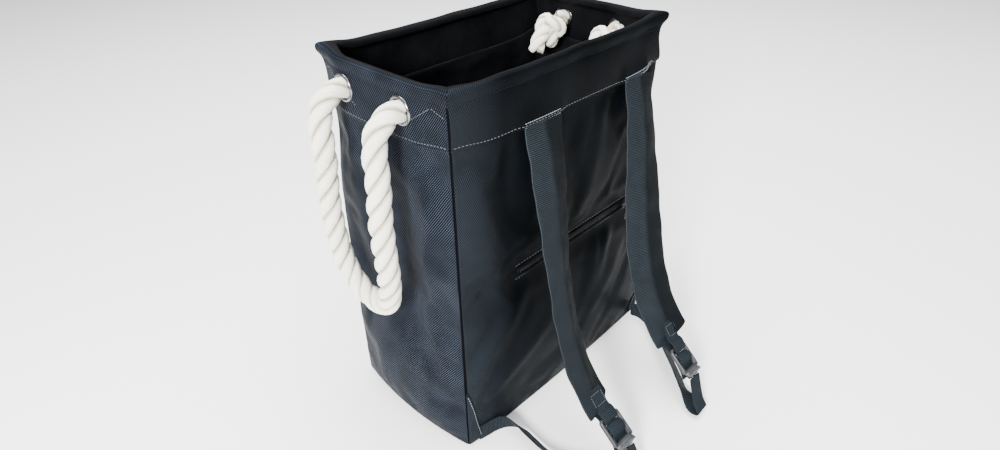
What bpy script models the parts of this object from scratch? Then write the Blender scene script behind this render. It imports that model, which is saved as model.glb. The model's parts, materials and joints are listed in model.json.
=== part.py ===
"""Foldable tote bag that is also worn as a backpack.

A tall fabric bag hangs from a wire-stiffened rim. Twisted rope handles come out of grommets in the
two narrow ends, and two shoulder straps hang in front of the wide face, each with a ladder-lock and
a lower webbing that runs to a bottom corner. A zip pocket crosses the wide face.

Frame: metres, +Z up, +X along the wide face, straps on the -Y side, origin at the middle of the
base's underside. "left" is the -X end.
"""
import math

import bmesh
import bpy
from mathutils import Matrix, Vector

# ---- driving dimensions (metres) ----------------------------------------------------------------
LENGTH = 0.370          # along X, outside
DEPTH = 0.210           # along Y, outside
HEIGHT = 0.465          # floor to rim
FABRIC = 0.002          # wall, lined
GAP = 0.0003            # between touching solids

BAND = 0.060            # height of the stiff top band
HEM_DEPTH = 0.012       # rolled hem, outside to inside
HEM_HEIGHT = 0.0095

WIRE_RADIUS = 0.002
FERRULE_RADIUS = 0.0031
FERRULE_LENGTH = 0.014

BASE_THICKNESS = 0.003
BOARD_THICKNESS = 0.003
BOARD_INSET = 0.0028    # board edge to the walls' outside

ROPE_RADIUS = 0.0128
NECK_RADIUS = 0.0115    # rope squeezed by its grommet
HANDLE_SPREAD = 0.045   # grommet to the middle of the end
GROMMET_Z = 0.437
GROMMET_RADIUS = 0.0175
GROMMET_BORE = 0.0120
BARREL_RADIUS = 0.0128
KNOT_RADIUS = 0.0250
ROPE_STAND_OFF = 0.032  # handle pivot outside the wall

STRAP_WIDTH = 0.060
STRAP_THICKNESS = 0.003
STRAP_X = {"left": -0.058, "right": 0.118}
STRAP_TOP_Y = -0.1085
STRAP_TOP_Z = 0.4015
STRAP_LEAN = {"left": math.radians(3.0), "right": math.radians(6.5)}   # straps hang towards -X

WEBBING = 0.025
WEBBING_THICKNESS = 0.0016

ZIP_Z = 0.225
ZIP_LEFT = -0.095
ZIP_RIGHT = 0.125
TAPE_HEIGHT = 0.026

# The shoulder strap's centre line, (y, z) from its hinge.
STRAP_PATH = [
    (-0.0008, -0.004), (-0.010, -0.035), (-0.022, -0.090), (-0.036, -0.160),
    (-0.052, -0.225), (-0.074, -0.280), (-0.098, -0.315), (-0.112, -0.330),
]
LOCK_PIVOT = (-0.1240, -0.3366)   # the ladder-lock's top bar, (y, z) from the strap's hinge
LOCK_ANGLE = math.radians(40)     # below the horizontal
LOCK_LENGTH = 0.036
LOCK_WIDTH = 0.034
LOCK_THICKNESS = 0.004
LOCK_BAR = 0.004                  # end bars and middle bar
LOCK_SLOT_WIDTH = 0.0262

LOWER_FRONT_PATH = [              # ladder-lock down to the floor, from the strap's hinge
    (-0.1560, -0.3635), (-0.1640, -0.3760), (-0.1730, -0.3890), (-0.1830, -0.3965),
]
LOWER_FLOOR_PATH = {              # bottom corner tab out along the floor, plan view (x, y)
    "left": [(-0.1580, -0.1095), (-0.1420, -0.1130), (-0.1310, -0.1215), (-0.1265, -0.1380),
             (-0.1290, -0.1600), (-0.1310, -0.1850), (-0.1240, -0.2120), (-0.1050, -0.2400),
             (-0.0850, -0.2640)],
    "right": [(0.1620, -0.1095), (0.1520, -0.1230), (0.1400, -0.1420), (0.1260, -0.1650),
              (0.1100, -0.1930), (0.0950, -0.2220), (0.0850, -0.2450), (0.0780, -0.2640)],
}

# The rope handle from just below its pivot to the bottom of its loop, (x outward, y, z).
ROPE_PATH = [
    (0.0345, 0.045, 0.4235), (0.0420, 0.045, 0.4000), (0.0470, 0.0455, 0.3700),
    (0.0480, 0.046, 0.3350), (0.0470, 0.0465, 0.3000), (0.0440, 0.046, 0.2650),
    (0.0400, 0.042, 0.2320), (0.0360, 0.033, 0.2060), (0.0335, 0.018, 0.1900),
    (0.0325, 0.000, 0.1850),
]

COLOURS = {
    "fabric": ((0.012, 0.015, 0.021), 0.62, 0.0),
    "lining": ((0.006, 0.006, 0.007), 0.75, 0.0),
    "webbing": ((0.018, 0.023, 0.030), 0.70, 0.0),
    "rope": ((0.80, 0.77, 0.68), 0.90, 0.0),
    "nickel": ((0.62, 0.61, 0.58), 0.22, 1.0),
    "steel": ((0.45, 0.46, 0.47), 0.35, 1.0),
    "board": ((0.05, 0.05, 0.05), 0.80, 0.0),
    "lock_plastic": ((0.030, 0.032, 0.036), 0.38, 0.0),
    "zip_metal": ((0.05, 0.05, 0.055), 0.35, 1.0),
    "zip_tape": ((0.010, 0.011, 0.014), 0.75, 0.0),
}


# ---- scene and helpers --------------------------------------------------------------------------
def clear_scene():
    for obj in list(bpy.data.objects):
        bpy.data.objects.remove(obj, do_unlink=True)


def new_collection(name):
    collection = bpy.data.collections.new(name)
    bpy.context.scene.collection.children.link(collection)
    return collection


clear_scene()
PARTS = new_collection("foldable_tote_bag")
CUTTERS = new_collection("cutters")


def material(name, kind):
    colour, roughness, metallic = COLOURS[kind]
    mat = bpy.data.materials.new(name)
    mat.use_nodes = True
    bsdf = mat.node_tree.nodes["Principled BSDF"]
    bsdf.inputs["Base Color"].default_value = (*colour, 1.0)
    bsdf.inputs["Roughness"].default_value = roughness
    bsdf.inputs["Metallic"].default_value = metallic
    mat.diffuse_color = (*colour, 1.0)
    return mat


def place(obj, name, kind, parent=None):
    """Names the object, files it in the parts collection and gives it its own material."""
    obj.name = name
    for collection in list(obj.users_collection):
        collection.objects.unlink(obj)
    PARTS.objects.link(obj)
    obj.data.materials.clear()
    obj.data.materials.append(material(name, kind))
    if parent is not None:
        obj.parent = parent
    return obj


def empty(name, location, rotation=(0.0, 0.0, 0.0)):
    obj = bpy.data.objects.new(name, None)
    obj.empty_display_size = 0.02
    obj.location = location
    obj.rotation_euler = rotation
    PARTS.objects.link(obj)
    return obj


def object_from_bmesh(bm, name):
    mesh = bpy.data.meshes.new(name)
    bm.to_mesh(mesh)
    bm.free()
    return bpy.data.objects.new(name, mesh)


def box(name, low, high, kind, parent=None, bevel=0.0, location=(0.0, 0.0, 0.0)):
    """A box between two corners given from the object's own origin."""
    low = Vector(low)
    high = Vector(high)
    bm = bmesh.new()
    bmesh.ops.create_cube(bm, size=1.0)
    bmesh.ops.scale(bm, vec=high - low, verts=bm.verts)
    bmesh.ops.translate(bm, vec=(low + high) / 2, verts=bm.verts)
    obj = place(object_from_bmesh(bm, name), name, kind, parent)
    obj.location = location
    if bevel:
        rounding = obj.modifiers.new("rounded_edges", "BEVEL")
        rounding.width = bevel
        rounding.segments = 1
    return obj


def poly_curve(name, points, cyclic=False, dimensions="3D"):
    curve = bpy.data.curves.new(name, "CURVE")
    curve.dimensions = dimensions
    spline = curve.splines.new("POLY")
    spline.points.add(len(points) - 1)
    for point, co in zip(spline.points, points):
        point.co = (*co, 1.0)
    spline.use_cyclic_u = cyclic
    return bpy.data.objects.new(name, curve)


def smooth_points(points, steps):
    """Catmull-Rom points through a route's own points."""
    route = [Vector(p) for p in points]
    ends = [2 * route[0] - route[1]] + route + [2 * route[-1] - route[-2]]
    out = []
    for i in range(1, len(ends) - 2):
        p0, p1, p2, p3 = ends[i - 1:i + 3]
        for step in range(steps):
            t = step / steps
            out.append(0.5 * (2 * p1 + (p2 - p0) * t + (2 * p0 - 5 * p1 + 4 * p2 - p3) * t * t
                              + (3 * p1 - p0 - 3 * p2 + p3) * t ** 3))
    out.append(route[-1])
    return out


def ribbon(name, path, width, thickness, kind, parent=None, steps=2):
    """A flat strip: path is (u, v) in the curve's plane, the width is across that plane."""
    points = [(p.x, p.y, 0.0) for p in smooth_points([(u, v, 0.0) for u, v in path], steps)]
    obj = place(poly_curve(name, points, dimensions="2D"), name, kind, parent)
    obj.data.fill_mode = "NONE"
    obj.data.extrude = width / 2
    sheet = obj.modifiers.new("thickness", "SOLIDIFY")
    sheet.thickness = thickness
    sheet.offset = 0.0
    return obj


def tube(name, path, radius, kind, parent=None, cyclic=False):
    obj = place(poly_curve(name, path, cyclic), name, kind, parent)
    obj.data.bevel_depth = radius
    obj.data.bevel_resolution = 2
    obj.data.use_fill_caps = not cyclic
    return obj


def turned(name, profile, kind, steps, parent=None):
    """A solid of revolution about the object's X axis. The profile is (x, radius); it runs from
    the -X end to the +X end, on the axis at both ends for a solid, closed on itself for a ring."""
    ring = profile[0][1] > 0.0
    bm = bmesh.new()
    verts = [bm.verts.new((radius, 0.0, -x)) for x, radius in profile]
    for a, b in zip(verts, verts[1:]):
        bm.edges.new((a, b))
    if ring:
        bm.edges.new((verts[-1], verts[0]))
    obj = place(object_from_bmesh(bm, name), name, kind, parent)
    screw = obj.modifiers.new("turn", "SCREW")
    screw.steps = steps
    screw.render_steps = steps
    screw.axis = "Z"
    screw.use_merge_vertices = True
    screw.merge_threshold = 0.00005
    obj.rotation_euler = (0.0, -math.pi / 2, 0.0)
    return obj


def cut(obj, cutter_bm, name):
    """Subtracts a shape made in world space from a part."""
    cutter = object_from_bmesh(cutter_bm, name)
    cutter.display_type = "WIRE"
    cutter.hide_render = True
    CUTTERS.objects.link(cutter)
    boolean = obj.modifiers.new(name, "BOOLEAN")
    boolean.operation = "DIFFERENCE"
    boolean.solver = "EXACT"
    boolean.object = cutter
    return cutter


# ---- top band, hem and its wire -----------------------------------------------------------------
BAND_BOTTOM = HEIGHT - BAND
X_OUT = LENGTH / 2
Y_OUT = DEPTH / 2


def hem_profile():
    """Across the band: (depth inward from the outer face, z). An outer wall with a rolled hem
    whose channel, open at the bottom, takes the wire."""
    leg_inner = HEM_DEPTH - FABRIC
    hem_bottom = HEIGHT - HEM_HEIGHT
    top = HEIGHT
    return [
        (0.0, BAND_BOTTOM), (FABRIC, BAND_BOTTOM), (FABRIC, top - FABRIC),
        (leg_inner, top - FABRIC), (leg_inner, hem_bottom), (HEM_DEPTH, hem_bottom),
        (HEM_DEPTH, top - FABRIC), (HEM_DEPTH - FABRIC, top), (FABRIC, top),
        (0.0, top - FABRIC),
    ]


def band(name, along, across, turn):
    """One side of the band: its profile run between two mitred corners, then turned about Z."""
    bm = bmesh.new()
    profile = hem_profile()
    mitre = GAP / 2
    first = [bm.verts.new((-(along - depth - mitre), -(across - depth), z)) for depth, z in profile]
    face = bm.faces.new(first)
    extruded = bmesh.ops.extrude_face_region(bm, geom=[face])
    for vert in [item for item in extruded["geom"] if isinstance(item, bmesh.types.BMVert)]:
        vert.co.x = -vert.co.x
    bmesh.ops.recalc_face_normals(bm, faces=bm.faces)
    obj = place(object_from_bmesh(bm, name), name, "fabric")
    obj.rotation_euler = (0.0, 0.0, turn)
    return obj


def make_band():
    band("front_band", X_OUT, Y_OUT, 0.0)
    band("back_band", X_OUT, Y_OUT, math.pi)
    ends = {"left": -math.pi / 2, "right": math.pi / 2}
    for side, turn in ends.items():
        end_band = band(f"{side}_band", Y_OUT, X_OUT, turn)
        for y in (-HANDLE_SPREAD, HANDLE_SPREAD):
            bm = bmesh.new()
            # The cutter is placed in the band's world position, on the outer wall only.
            sign = -1.0 if side == "left" else 1.0
            bmesh.ops.create_cone(bm, cap_ends=True, segments=24, radius1=BARREL_RADIUS + GAP,
                                  radius2=BARREL_RADIUS + GAP, depth=0.010)
            bmesh.ops.rotate(bm, cent=(0, 0, 0), matrix=Matrix.Rotation(math.pi / 2, 3, "Y"),
                             verts=bm.verts)
            bmesh.ops.translate(bm, vec=(sign * X_OUT, y, GROMMET_Z), verts=bm.verts)
            cut(end_band, bm, f"{side}_grommet_hole_{'front' if y < 0 else 'back'}")


def make_wire():
    """A rounded rectangle of spring wire in the hem; its ends meet in a crimped ferrule."""
    half_x = X_OUT - HEM_DEPTH / 2
    half_y = Y_OUT - HEM_DEPTH / 2
    corner = 0.005
    z = HEIGHT - FABRIC - 0.0040
    end_gap = 0.0005
    points = [(end_gap, half_y, z)]
    centres = [(half_x - corner, half_y - corner, 90), (half_x - corner, corner - half_y, 0),
               (corner - half_x, corner - half_y, -90), (corner - half_x, half_y - corner, -180)]
    for cx, cy, start in centres:
        for step in range(4):
            angle = math.radians(start - 30 * step)
            points.append((cx + corner * math.cos(angle), cy + corner * math.sin(angle), z))
    points.append((-end_gap, half_y, z))
    tube("rim_wire", points, WIRE_RADIUS, "steel")
    half = FERRULE_LENGTH / 2
    bore = WIRE_RADIUS + GAP
    ferrule = turned("wire_ferrule", [(-half, bore), (-half, FERRULE_RADIUS),
                                      (half, FERRULE_RADIUS), (half, bore)], "steel", 16)
    ferrule.location = (0.0, half_y, z)


# ---- walls, base and pocket ---------------------------------------------------------------------
def make_walls():
    low_z = BASE_THICKNESS + GAP
    high_z = BAND_BOTTOM - GAP
    box("front_panel", (-X_OUT, -Y_OUT, low_z), (X_OUT, -Y_OUT + FABRIC, high_z), "fabric")
    box("back_panel", (-X_OUT, Y_OUT - FABRIC, low_z), (X_OUT, Y_OUT, high_z), "fabric")
    inner_y = Y_OUT - FABRIC - GAP
    box("left_gusset", (-X_OUT, -inner_y, low_z), (-X_OUT + FABRIC, inner_y, high_z), "fabric")
    box("right_gusset", (X_OUT - FABRIC, -inner_y, low_z), (X_OUT, inner_y, high_z), "fabric")


def make_base():
    box("base_panel", (-X_OUT, -Y_OUT, 0.0), (X_OUT, Y_OUT, BASE_THICKNESS), "fabric")
    board_x = X_OUT - BOARD_INSET
    board_y = Y_OUT - BOARD_INSET
    board_z = BASE_THICKNESS + GAP
    box("base_board", (-board_x, -board_y, board_z), (board_x, board_y, board_z + BOARD_THICKNESS),
        "board")


def make_corner_tab(side):
    """A triangle sewn over the bottom corner, which holds the end of the lower webbing."""
    sign = -1.0 if side == "left" else 1.0
    edge = X_OUT - 0.0005
    outline = [(sign * edge, 0.004, 0.0), (sign * (edge - 0.026), 0.004, 0.0),
               (sign * edge, 0.094, 0.0)]
    obj = place(poly_curve(f"{side}_corner_tab", outline, True, "2D"), f"{side}_corner_tab",
                "fabric")
    obj.data.fill_mode = "BOTH"
    obj.data.extrude = 0.0010
    obj.rotation_euler = (math.pi / 2, 0.0, 0.0)
    obj.location = (0.0, -Y_OUT - GAP - 0.0010, 0.0)


def make_pocket():
    inner_face = -Y_OUT + FABRIC + GAP
    box("pocket_pouch", (ZIP_LEFT + 0.005, inner_face, 0.090),
        (ZIP_RIGHT - 0.010, inner_face + FABRIC, ZIP_Z - 0.005), "lining")
    tape_back = -Y_OUT - GAP
    tape_front = tape_back - 0.0008
    box("zipper_tape", (ZIP_LEFT, tape_front, ZIP_Z - TAPE_HEIGHT / 2),
        (ZIP_RIGHT, tape_back, ZIP_Z + TAPE_HEIGHT / 2), "zip_tape")
    coil_back = tape_front - GAP
    coil_front = coil_back - 0.0014
    box("zipper_coil", (ZIP_LEFT + 0.004, coil_front, ZIP_Z - 0.0025),
        (ZIP_RIGHT - 0.004, coil_back, ZIP_Z + 0.0025), "zip_metal")
    slider_back = coil_front - GAP
    slider_front = slider_back - 0.0034
    slider_x = ZIP_RIGHT - 0.012
    box("zip_slider", (-0.0050, slider_front, -0.0042), (0.0050, slider_back, 0.0042),
        "zip_metal", bevel=0.0008, location=(slider_x, 0.0, ZIP_Z))
    pull_axis_y = slider_front - 0.0014
    box("zip_pull", (-0.0028, -0.00075, -0.0200), (0.0028, 0.00075, 0.0009), "zip_metal",
        location=(slider_x, pull_axis_y, ZIP_Z))


# ---- rope handles -------------------------------------------------------------------------------
def rope_end_profile():
    """Rope from the rounded bend outside the wall, through the grommet, to the knot inside.
    x is measured inward from the wall's outer face."""
    profile = []
    for step in range(7):
        angle = math.radians(90 * step / 6)
        x = -ROPE_STAND_OFF - ROPE_RADIUS * math.cos(angle)
        profile.append((x, ROPE_RADIUS * math.sin(angle)))
    profile += [(-0.0060, ROPE_RADIUS), (-0.0035, NECK_RADIUS), (0.0055, NECK_RADIUS)]
    knot_x = 0.0300
    for angle in (32, 55, 80, 105, 130, 150):
        t = math.radians(angle)
        profile.append((knot_x - KNOT_RADIUS * math.cos(t), KNOT_RADIUS * math.sin(t)))
    profile += [(knot_x + 0.0330, NECK_RADIUS), (knot_x + 0.0330, 0.0)]
    profile[0] = (profile[0][0], 0.0)
    return profile


def make_grommet(name, side_sign, y):
    """An eyelet rolled over outside the wall, and the washer it is set against inside."""
    flange = [(-0.0016, GROMMET_BORE + 0.0008), (-0.0016, GROMMET_RADIUS - 0.0012),
              (-GAP, GROMMET_RADIUS), (-GAP, BARREL_RADIUS), (0.0026, BARREL_RADIUS),
              (0.0026, GROMMET_BORE), (-0.0008, GROMMET_BORE)]
    washer = [(FABRIC + GAP, BARREL_RADIUS + GAP), (FABRIC + GAP, GROMMET_RADIUS),
              (FABRIC + GAP + 0.0008, GROMMET_RADIUS), (FABRIC + GAP + 0.0008, BARREL_RADIUS + GAP)]
    for suffix, profile in (("grommet", flange), ("washer", washer)):
        obj = turned(f"{name}_{suffix}", profile, "nickel", 24)
        put_on_end(obj, side_sign, y)


def put_on_end(obj, side_sign, y):
    """Places a piece turned about X on an end wall: its +X points into the bag."""
    obj.location = (side_sign * X_OUT, y, GROMMET_Z)
    if side_sign > 0:
        obj.rotation_euler = (0.0, -math.pi / 2, math.pi)


def make_handle(side):
    sign = -1.0 if side == "left" else 1.0
    for y, place_name in ((-HANDLE_SPREAD, "front"), (HANDLE_SPREAD, "back")):
        make_grommet(f"{side}_{place_name}", sign, y)
        rope_end = turned(f"{side}_{place_name}_rope_end", rope_end_profile(), "rope", 12)
        put_on_end(rope_end, sign, y)
    pivot = Vector((sign * (X_OUT + ROPE_STAND_OFF), 0.0, GROMMET_Z))
    half = [Vector((sign * (X_OUT + out), y, z)) - pivot for out, y, z in ROPE_PATH]
    other_half = [Vector((p.x, -p.y, p.z)) for p in reversed(half[:-1])]
    handle = tube(f"{side}_rope_handle", smooth_points(half + other_half, 2), ROPE_RADIUS, "rope")
    handle.location = pivot


# ---- shoulder straps ----------------------------------------------------------------------------
ON_EDGE = (math.pi / 2, 0.0, math.pi / 2)    # turns a curve's plane to face along X


def along_lock(distance, rise=0.0):
    """A point (y, z) along the ladder-lock from its pivot, with a rise off its front face."""
    cos_a = math.cos(LOCK_ANGLE)
    sin_a = math.sin(LOCK_ANGLE)
    return (LOCK_PIVOT[0] - distance * cos_a - rise * sin_a,
            LOCK_PIVOT[1] - distance * sin_a + rise * cos_a)


def make_ladder_lock(side, hinge):
    """A frame with two slots, made flat and then tilted on its top bar."""
    pivot = empty(f"{side}_lock_pivot", (0.0, *LOCK_PIVOT), (LOCK_ANGLE, 0.0, 0.0))
    pivot.parent = hinge
    bm = bmesh.new()
    bmesh.ops.create_cube(bm, size=1.0)
    bmesh.ops.scale(bm, vec=(LOCK_WIDTH, LOCK_LENGTH, LOCK_THICKNESS), verts=bm.verts)
    centre = -LOCK_LENGTH / 2 + LOCK_BAR / 2
    bmesh.ops.translate(bm, vec=(0.0, centre, 0.0), verts=bm.verts)
    lock = place(object_from_bmesh(bm, f"{side}_ladder_lock"), f"{side}_ladder_lock",
                 "lock_plastic", pivot)
    rounding = lock.modifiers.new("rounded_edges", "BEVEL")
    rounding.width = 0.001
    rounding.segments = 1
    slot = (LOCK_LENGTH - 3 * LOCK_BAR) / 2
    for index in range(2):
        bm = bmesh.new()
        bmesh.ops.create_cube(bm, size=1.0)
        bmesh.ops.scale(bm, vec=(LOCK_SLOT_WIDTH, slot, 0.02), verts=bm.verts)
        middle = -LOCK_BAR / 2 - slot / 2 - index * (slot + LOCK_BAR)
        bmesh.ops.translate(bm, vec=(0.0, middle, 0.0), verts=bm.verts)
        cutter = cut(lock, bm, f"{side}_lock_slot_{index + 1}")
        cutter.parent = pivot
    return pivot


def make_strap(side):
    hinge = empty(f"{side}_strap_hinge", (STRAP_X[side], STRAP_TOP_Y, STRAP_TOP_Z),
                  (0.0, STRAP_LEAN[side], 0.0))
    strap = ribbon(f"{side}_shoulder_strap", STRAP_PATH, STRAP_WIDTH, STRAP_THICKNESS, "webbing",
                   hinge)
    strap.rotation_euler = ON_EDGE
    make_ladder_lock(side, hinge)

    lift = STRAP_THICKNESS / 2 + WEBBING_THICKNESS / 2 + 2 * GAP
    end = STRAP_PATH[-1]
    before = STRAP_PATH[-2]
    along = Vector((end[0] - before[0], end[1] - before[1])).normalized()
    front = Vector((along.y, -along.x))
    carrier_path = [Vector(end) + front * lift - along * 0.017, Vector(end) + front * lift,
                    Vector(along_lock(-0.0062, 0.0008)), Vector(along_lock(-0.0044, 0.0))]
    carrier = ribbon(f"{side}_lock_carrier", [tuple(p) for p in carrier_path], WEBBING,
                     WEBBING_THICKNESS, "webbing", hinge)
    carrier.rotation_euler = ON_EDGE

    lower = ribbon(f"{side}_lower_webbing_front", LOWER_FRONT_PATH, WEBBING, WEBBING_THICKNESS,
                   "webbing", hinge)
    lower.rotation_euler = ON_EDGE

    tail_path = [along_lock(0.016, -0.0034), along_lock(0.030, -0.0042), along_lock(0.040, -0.0095)]
    tail = ribbon(f"{side}_webbing_tail", tail_path, WEBBING, WEBBING_THICKNESS, "webbing", hinge)
    tail.rotation_euler = ON_EDGE


def make_floor_webbing(side):
    """The lower webbing between the corner tab and the fold in front of the bag, on its edge."""
    obj = ribbon(f"{side}_lower_webbing_floor", LOWER_FLOOR_PATH[side], WEBBING,
                 WEBBING_THICKNESS, "webbing")
    obj.location = (0.0, 0.0, WEBBING / 2 + 0.001)


def build():
    make_band()
    make_wire()
    make_walls()
    make_base()
    make_pocket()
    for side in ("left", "right"):
        make_corner_tab(side)
        make_handle(side)
        make_strap(side)
        make_floor_webbing(side)


build()
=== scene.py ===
"""The looks of the foldable tote bag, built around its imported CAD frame.

Metres, +Z up, +X along the wide face, straps on the -Y side. Every soft piece is a lattice of
points worked out from the frame's boxes, and the walls are then settled by a cloth simulation.
"""
import json
import math

import bmesh
import bpy
import numpy as np
from mathutils import Matrix, Vector
from mathutils.bvhtree import BVHTree


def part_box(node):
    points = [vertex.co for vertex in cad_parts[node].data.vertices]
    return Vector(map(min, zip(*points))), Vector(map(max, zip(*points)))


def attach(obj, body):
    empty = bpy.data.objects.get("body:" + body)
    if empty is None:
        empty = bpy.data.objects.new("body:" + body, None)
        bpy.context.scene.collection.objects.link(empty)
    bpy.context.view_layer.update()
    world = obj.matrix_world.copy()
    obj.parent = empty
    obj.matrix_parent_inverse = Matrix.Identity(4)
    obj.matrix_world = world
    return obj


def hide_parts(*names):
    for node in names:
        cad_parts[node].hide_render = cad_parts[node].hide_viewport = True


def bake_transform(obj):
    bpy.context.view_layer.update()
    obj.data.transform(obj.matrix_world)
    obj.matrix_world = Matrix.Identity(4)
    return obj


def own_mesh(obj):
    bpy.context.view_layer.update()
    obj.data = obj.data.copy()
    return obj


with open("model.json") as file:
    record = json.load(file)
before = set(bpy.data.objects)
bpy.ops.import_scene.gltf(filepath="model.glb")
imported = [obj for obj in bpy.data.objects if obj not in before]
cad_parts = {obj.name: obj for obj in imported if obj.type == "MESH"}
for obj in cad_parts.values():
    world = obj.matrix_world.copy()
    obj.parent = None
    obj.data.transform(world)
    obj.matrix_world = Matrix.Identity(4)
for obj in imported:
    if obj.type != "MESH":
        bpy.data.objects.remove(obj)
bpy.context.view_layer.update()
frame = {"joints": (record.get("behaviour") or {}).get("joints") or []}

# ---- sizes read from the frame ------------------------------------------------------------------
def box_of(node):
    """The low and high corners of a CAD node's box."""
    return [np.array(corner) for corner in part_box(node)]


X_OUT = float(box_of("front_panel")[1][0])       # wall to wall, half
Y_OUT = float(box_of("back_panel")[1][1])
BAND_BOTTOM = float(box_of("front_band")[0][2])
TAPE_LOW, TAPE_HIGH = box_of("zipper_tape")
ZIP_Z = float((TAPE_LOW[2] + TAPE_HIGH[2]) / 2)
GROMMET_LOW, GROMMET_HIGH = box_of("left_back_grommet")
GROMMET_Z = float((GROMMET_LOW[2] + GROMMET_HIGH[2]) / 2)
HANDLE_SPREAD = float((GROMMET_LOW[1] + GROMMET_HIGH[1]) / 2)
JOINTS = {joint["name"]: joint for joint in frame["joints"]}
STRAP_LEAN = {"left": math.radians(3.0), "right": math.radians(6.5)}
STRAP_WIDTH = 0.060
WEBBING = 0.025
SIDES = {"left": -1, "right": 1}


# ---- numbers and lattices -----------------------------------------------------------------------
def smoothstep(x, low=0.0, high=1.0):
    t = np.clip((np.asarray(x, float) - low) / (high - low), 0.0, 1.0)
    return t * t * (3.0 - 2.0 * t)


def catmull_rom(points, steps):
    """Smooth points through a route's own points, steps to each stretch."""
    route = np.array(points, float)
    ends = np.vstack([2 * route[0] - route[1], route, 2 * route[-1] - route[-2]])
    out = []
    for i in range(1, len(ends) - 2):
        p0, p1, p2, p3 = ends[i - 1:i + 3]
        for step in range(steps):
            t = step / steps
            out.append(0.5 * (2 * p1 + (p2 - p0) * t + (2 * p0 - 5 * p1 + 4 * p2 - p3) * t * t
                              + (3 * p1 - p0 - 3 * p2 + p3) * t ** 3))
    out.append(route[-1])
    return np.array(out)


def distances(points):
    """Distance along a row of points, from its first."""
    return np.concatenate([[0.0], np.cumsum(np.linalg.norm(np.diff(points, axis=0), axis=1))])


def evenly(points, spacing):
    """The same route with its points the same distance apart."""
    s = distances(points)
    count = max(2, int(round(s[-1] / spacing)) + 1)
    at = np.linspace(0.0, s[-1], count)
    return np.column_stack([np.interp(at, s, points[:, k]) for k in range(points.shape[1])])


def tangents(points):
    step = np.gradient(points, axis=0)
    return step / np.linalg.norm(step, axis=1)[:, None]


def turning_frames(points, first_normal):
    """Two directions across a route at each point, which don't spin about it."""
    along = tangents(points)
    normal = np.array(first_normal, float)
    normals = []
    for t in along:
        normal = normal - t * float(normal @ t)
        normal = normal / np.linalg.norm(normal)
        normals.append(normal)
    normals = np.array(normals)
    return normals, np.cross(along, normals)


def new_object(name, mesh):
    obj = bpy.data.objects.new(name, mesh)
    bpy.context.scene.collection.objects.link(obj)
    return obj


def lattice(name, rings, caps=True):
    """A tube of faces through rows of points: rings[k][i]. UV is in metres, u round a row and v
    from row to row. caps closes the first and last row."""
    rings = np.asarray(rings, float)
    rows, count = rings.shape[:2]
    v_at = distances(rings.mean(axis=1))
    u_at = distances(np.vstack([rings[rows // 2], rings[rows // 2][:1]]))
    faces = []
    uvs = []
    for k in range(rows - 1):
        for i in range(count):
            j = (i + 1) % count
            faces.append((k * count + i, k * count + j, (k + 1) * count + j, (k + 1) * count + i))
            uvs += [(u_at[i], v_at[k]), (u_at[i + 1], v_at[k]),
                    (u_at[i + 1], v_at[k + 1]), (u_at[i], v_at[k + 1])]
    if caps:
        faces += [tuple(reversed(range(count))), tuple(range((rows - 1) * count, rows * count))]
        uvs += [(u_at[i], v_at[0]) for i in reversed(range(count))]
        uvs += [(u_at[i], v_at[-1]) for i in range(count)]
    mesh = bpy.data.meshes.new(name)
    mesh.from_pydata(rings.reshape(-1, 3).tolist(), [], faces)
    mesh.uv_layers.new(name="metres").data.foreach_set("uv", np.ravel(uvs))
    mesh.update()
    mesh.shade_smooth()
    return new_object(name, mesh)


def outward(obj):
    """Makes a closed mesh's faces point out."""
    bm = bmesh.new()
    bm.from_mesh(obj.data)
    bmesh.ops.recalc_face_normals(bm, faces=bm.faces)
    bm.to_mesh(obj.data)
    bm.free()
    return obj


def join(objects, name):
    """One object from several, keeping their UVs and materials."""
    bpy.ops.object.select_all(action="DESELECT")
    for obj in objects:
        obj.select_set(True)
    bpy.context.view_layer.objects.active = objects[0]
    bpy.ops.object.join()
    joined = bpy.context.view_layer.objects.active
    joined.name = name
    joined.data.name = name
    joined.select_set(False)
    return joined


def subdivide(obj):
    modifier = obj.modifiers.new("fine", "SUBSURF")
    modifier.levels = 1
    modifier.render_levels = 1
    return obj


def points_of(obj):
    return np.array([vertex.co[:] for vertex in obj.data.vertices])


def move_points(obj, points):
    obj.data.vertices.foreach_set("co", points.ravel())
    obj.data.update()


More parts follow.
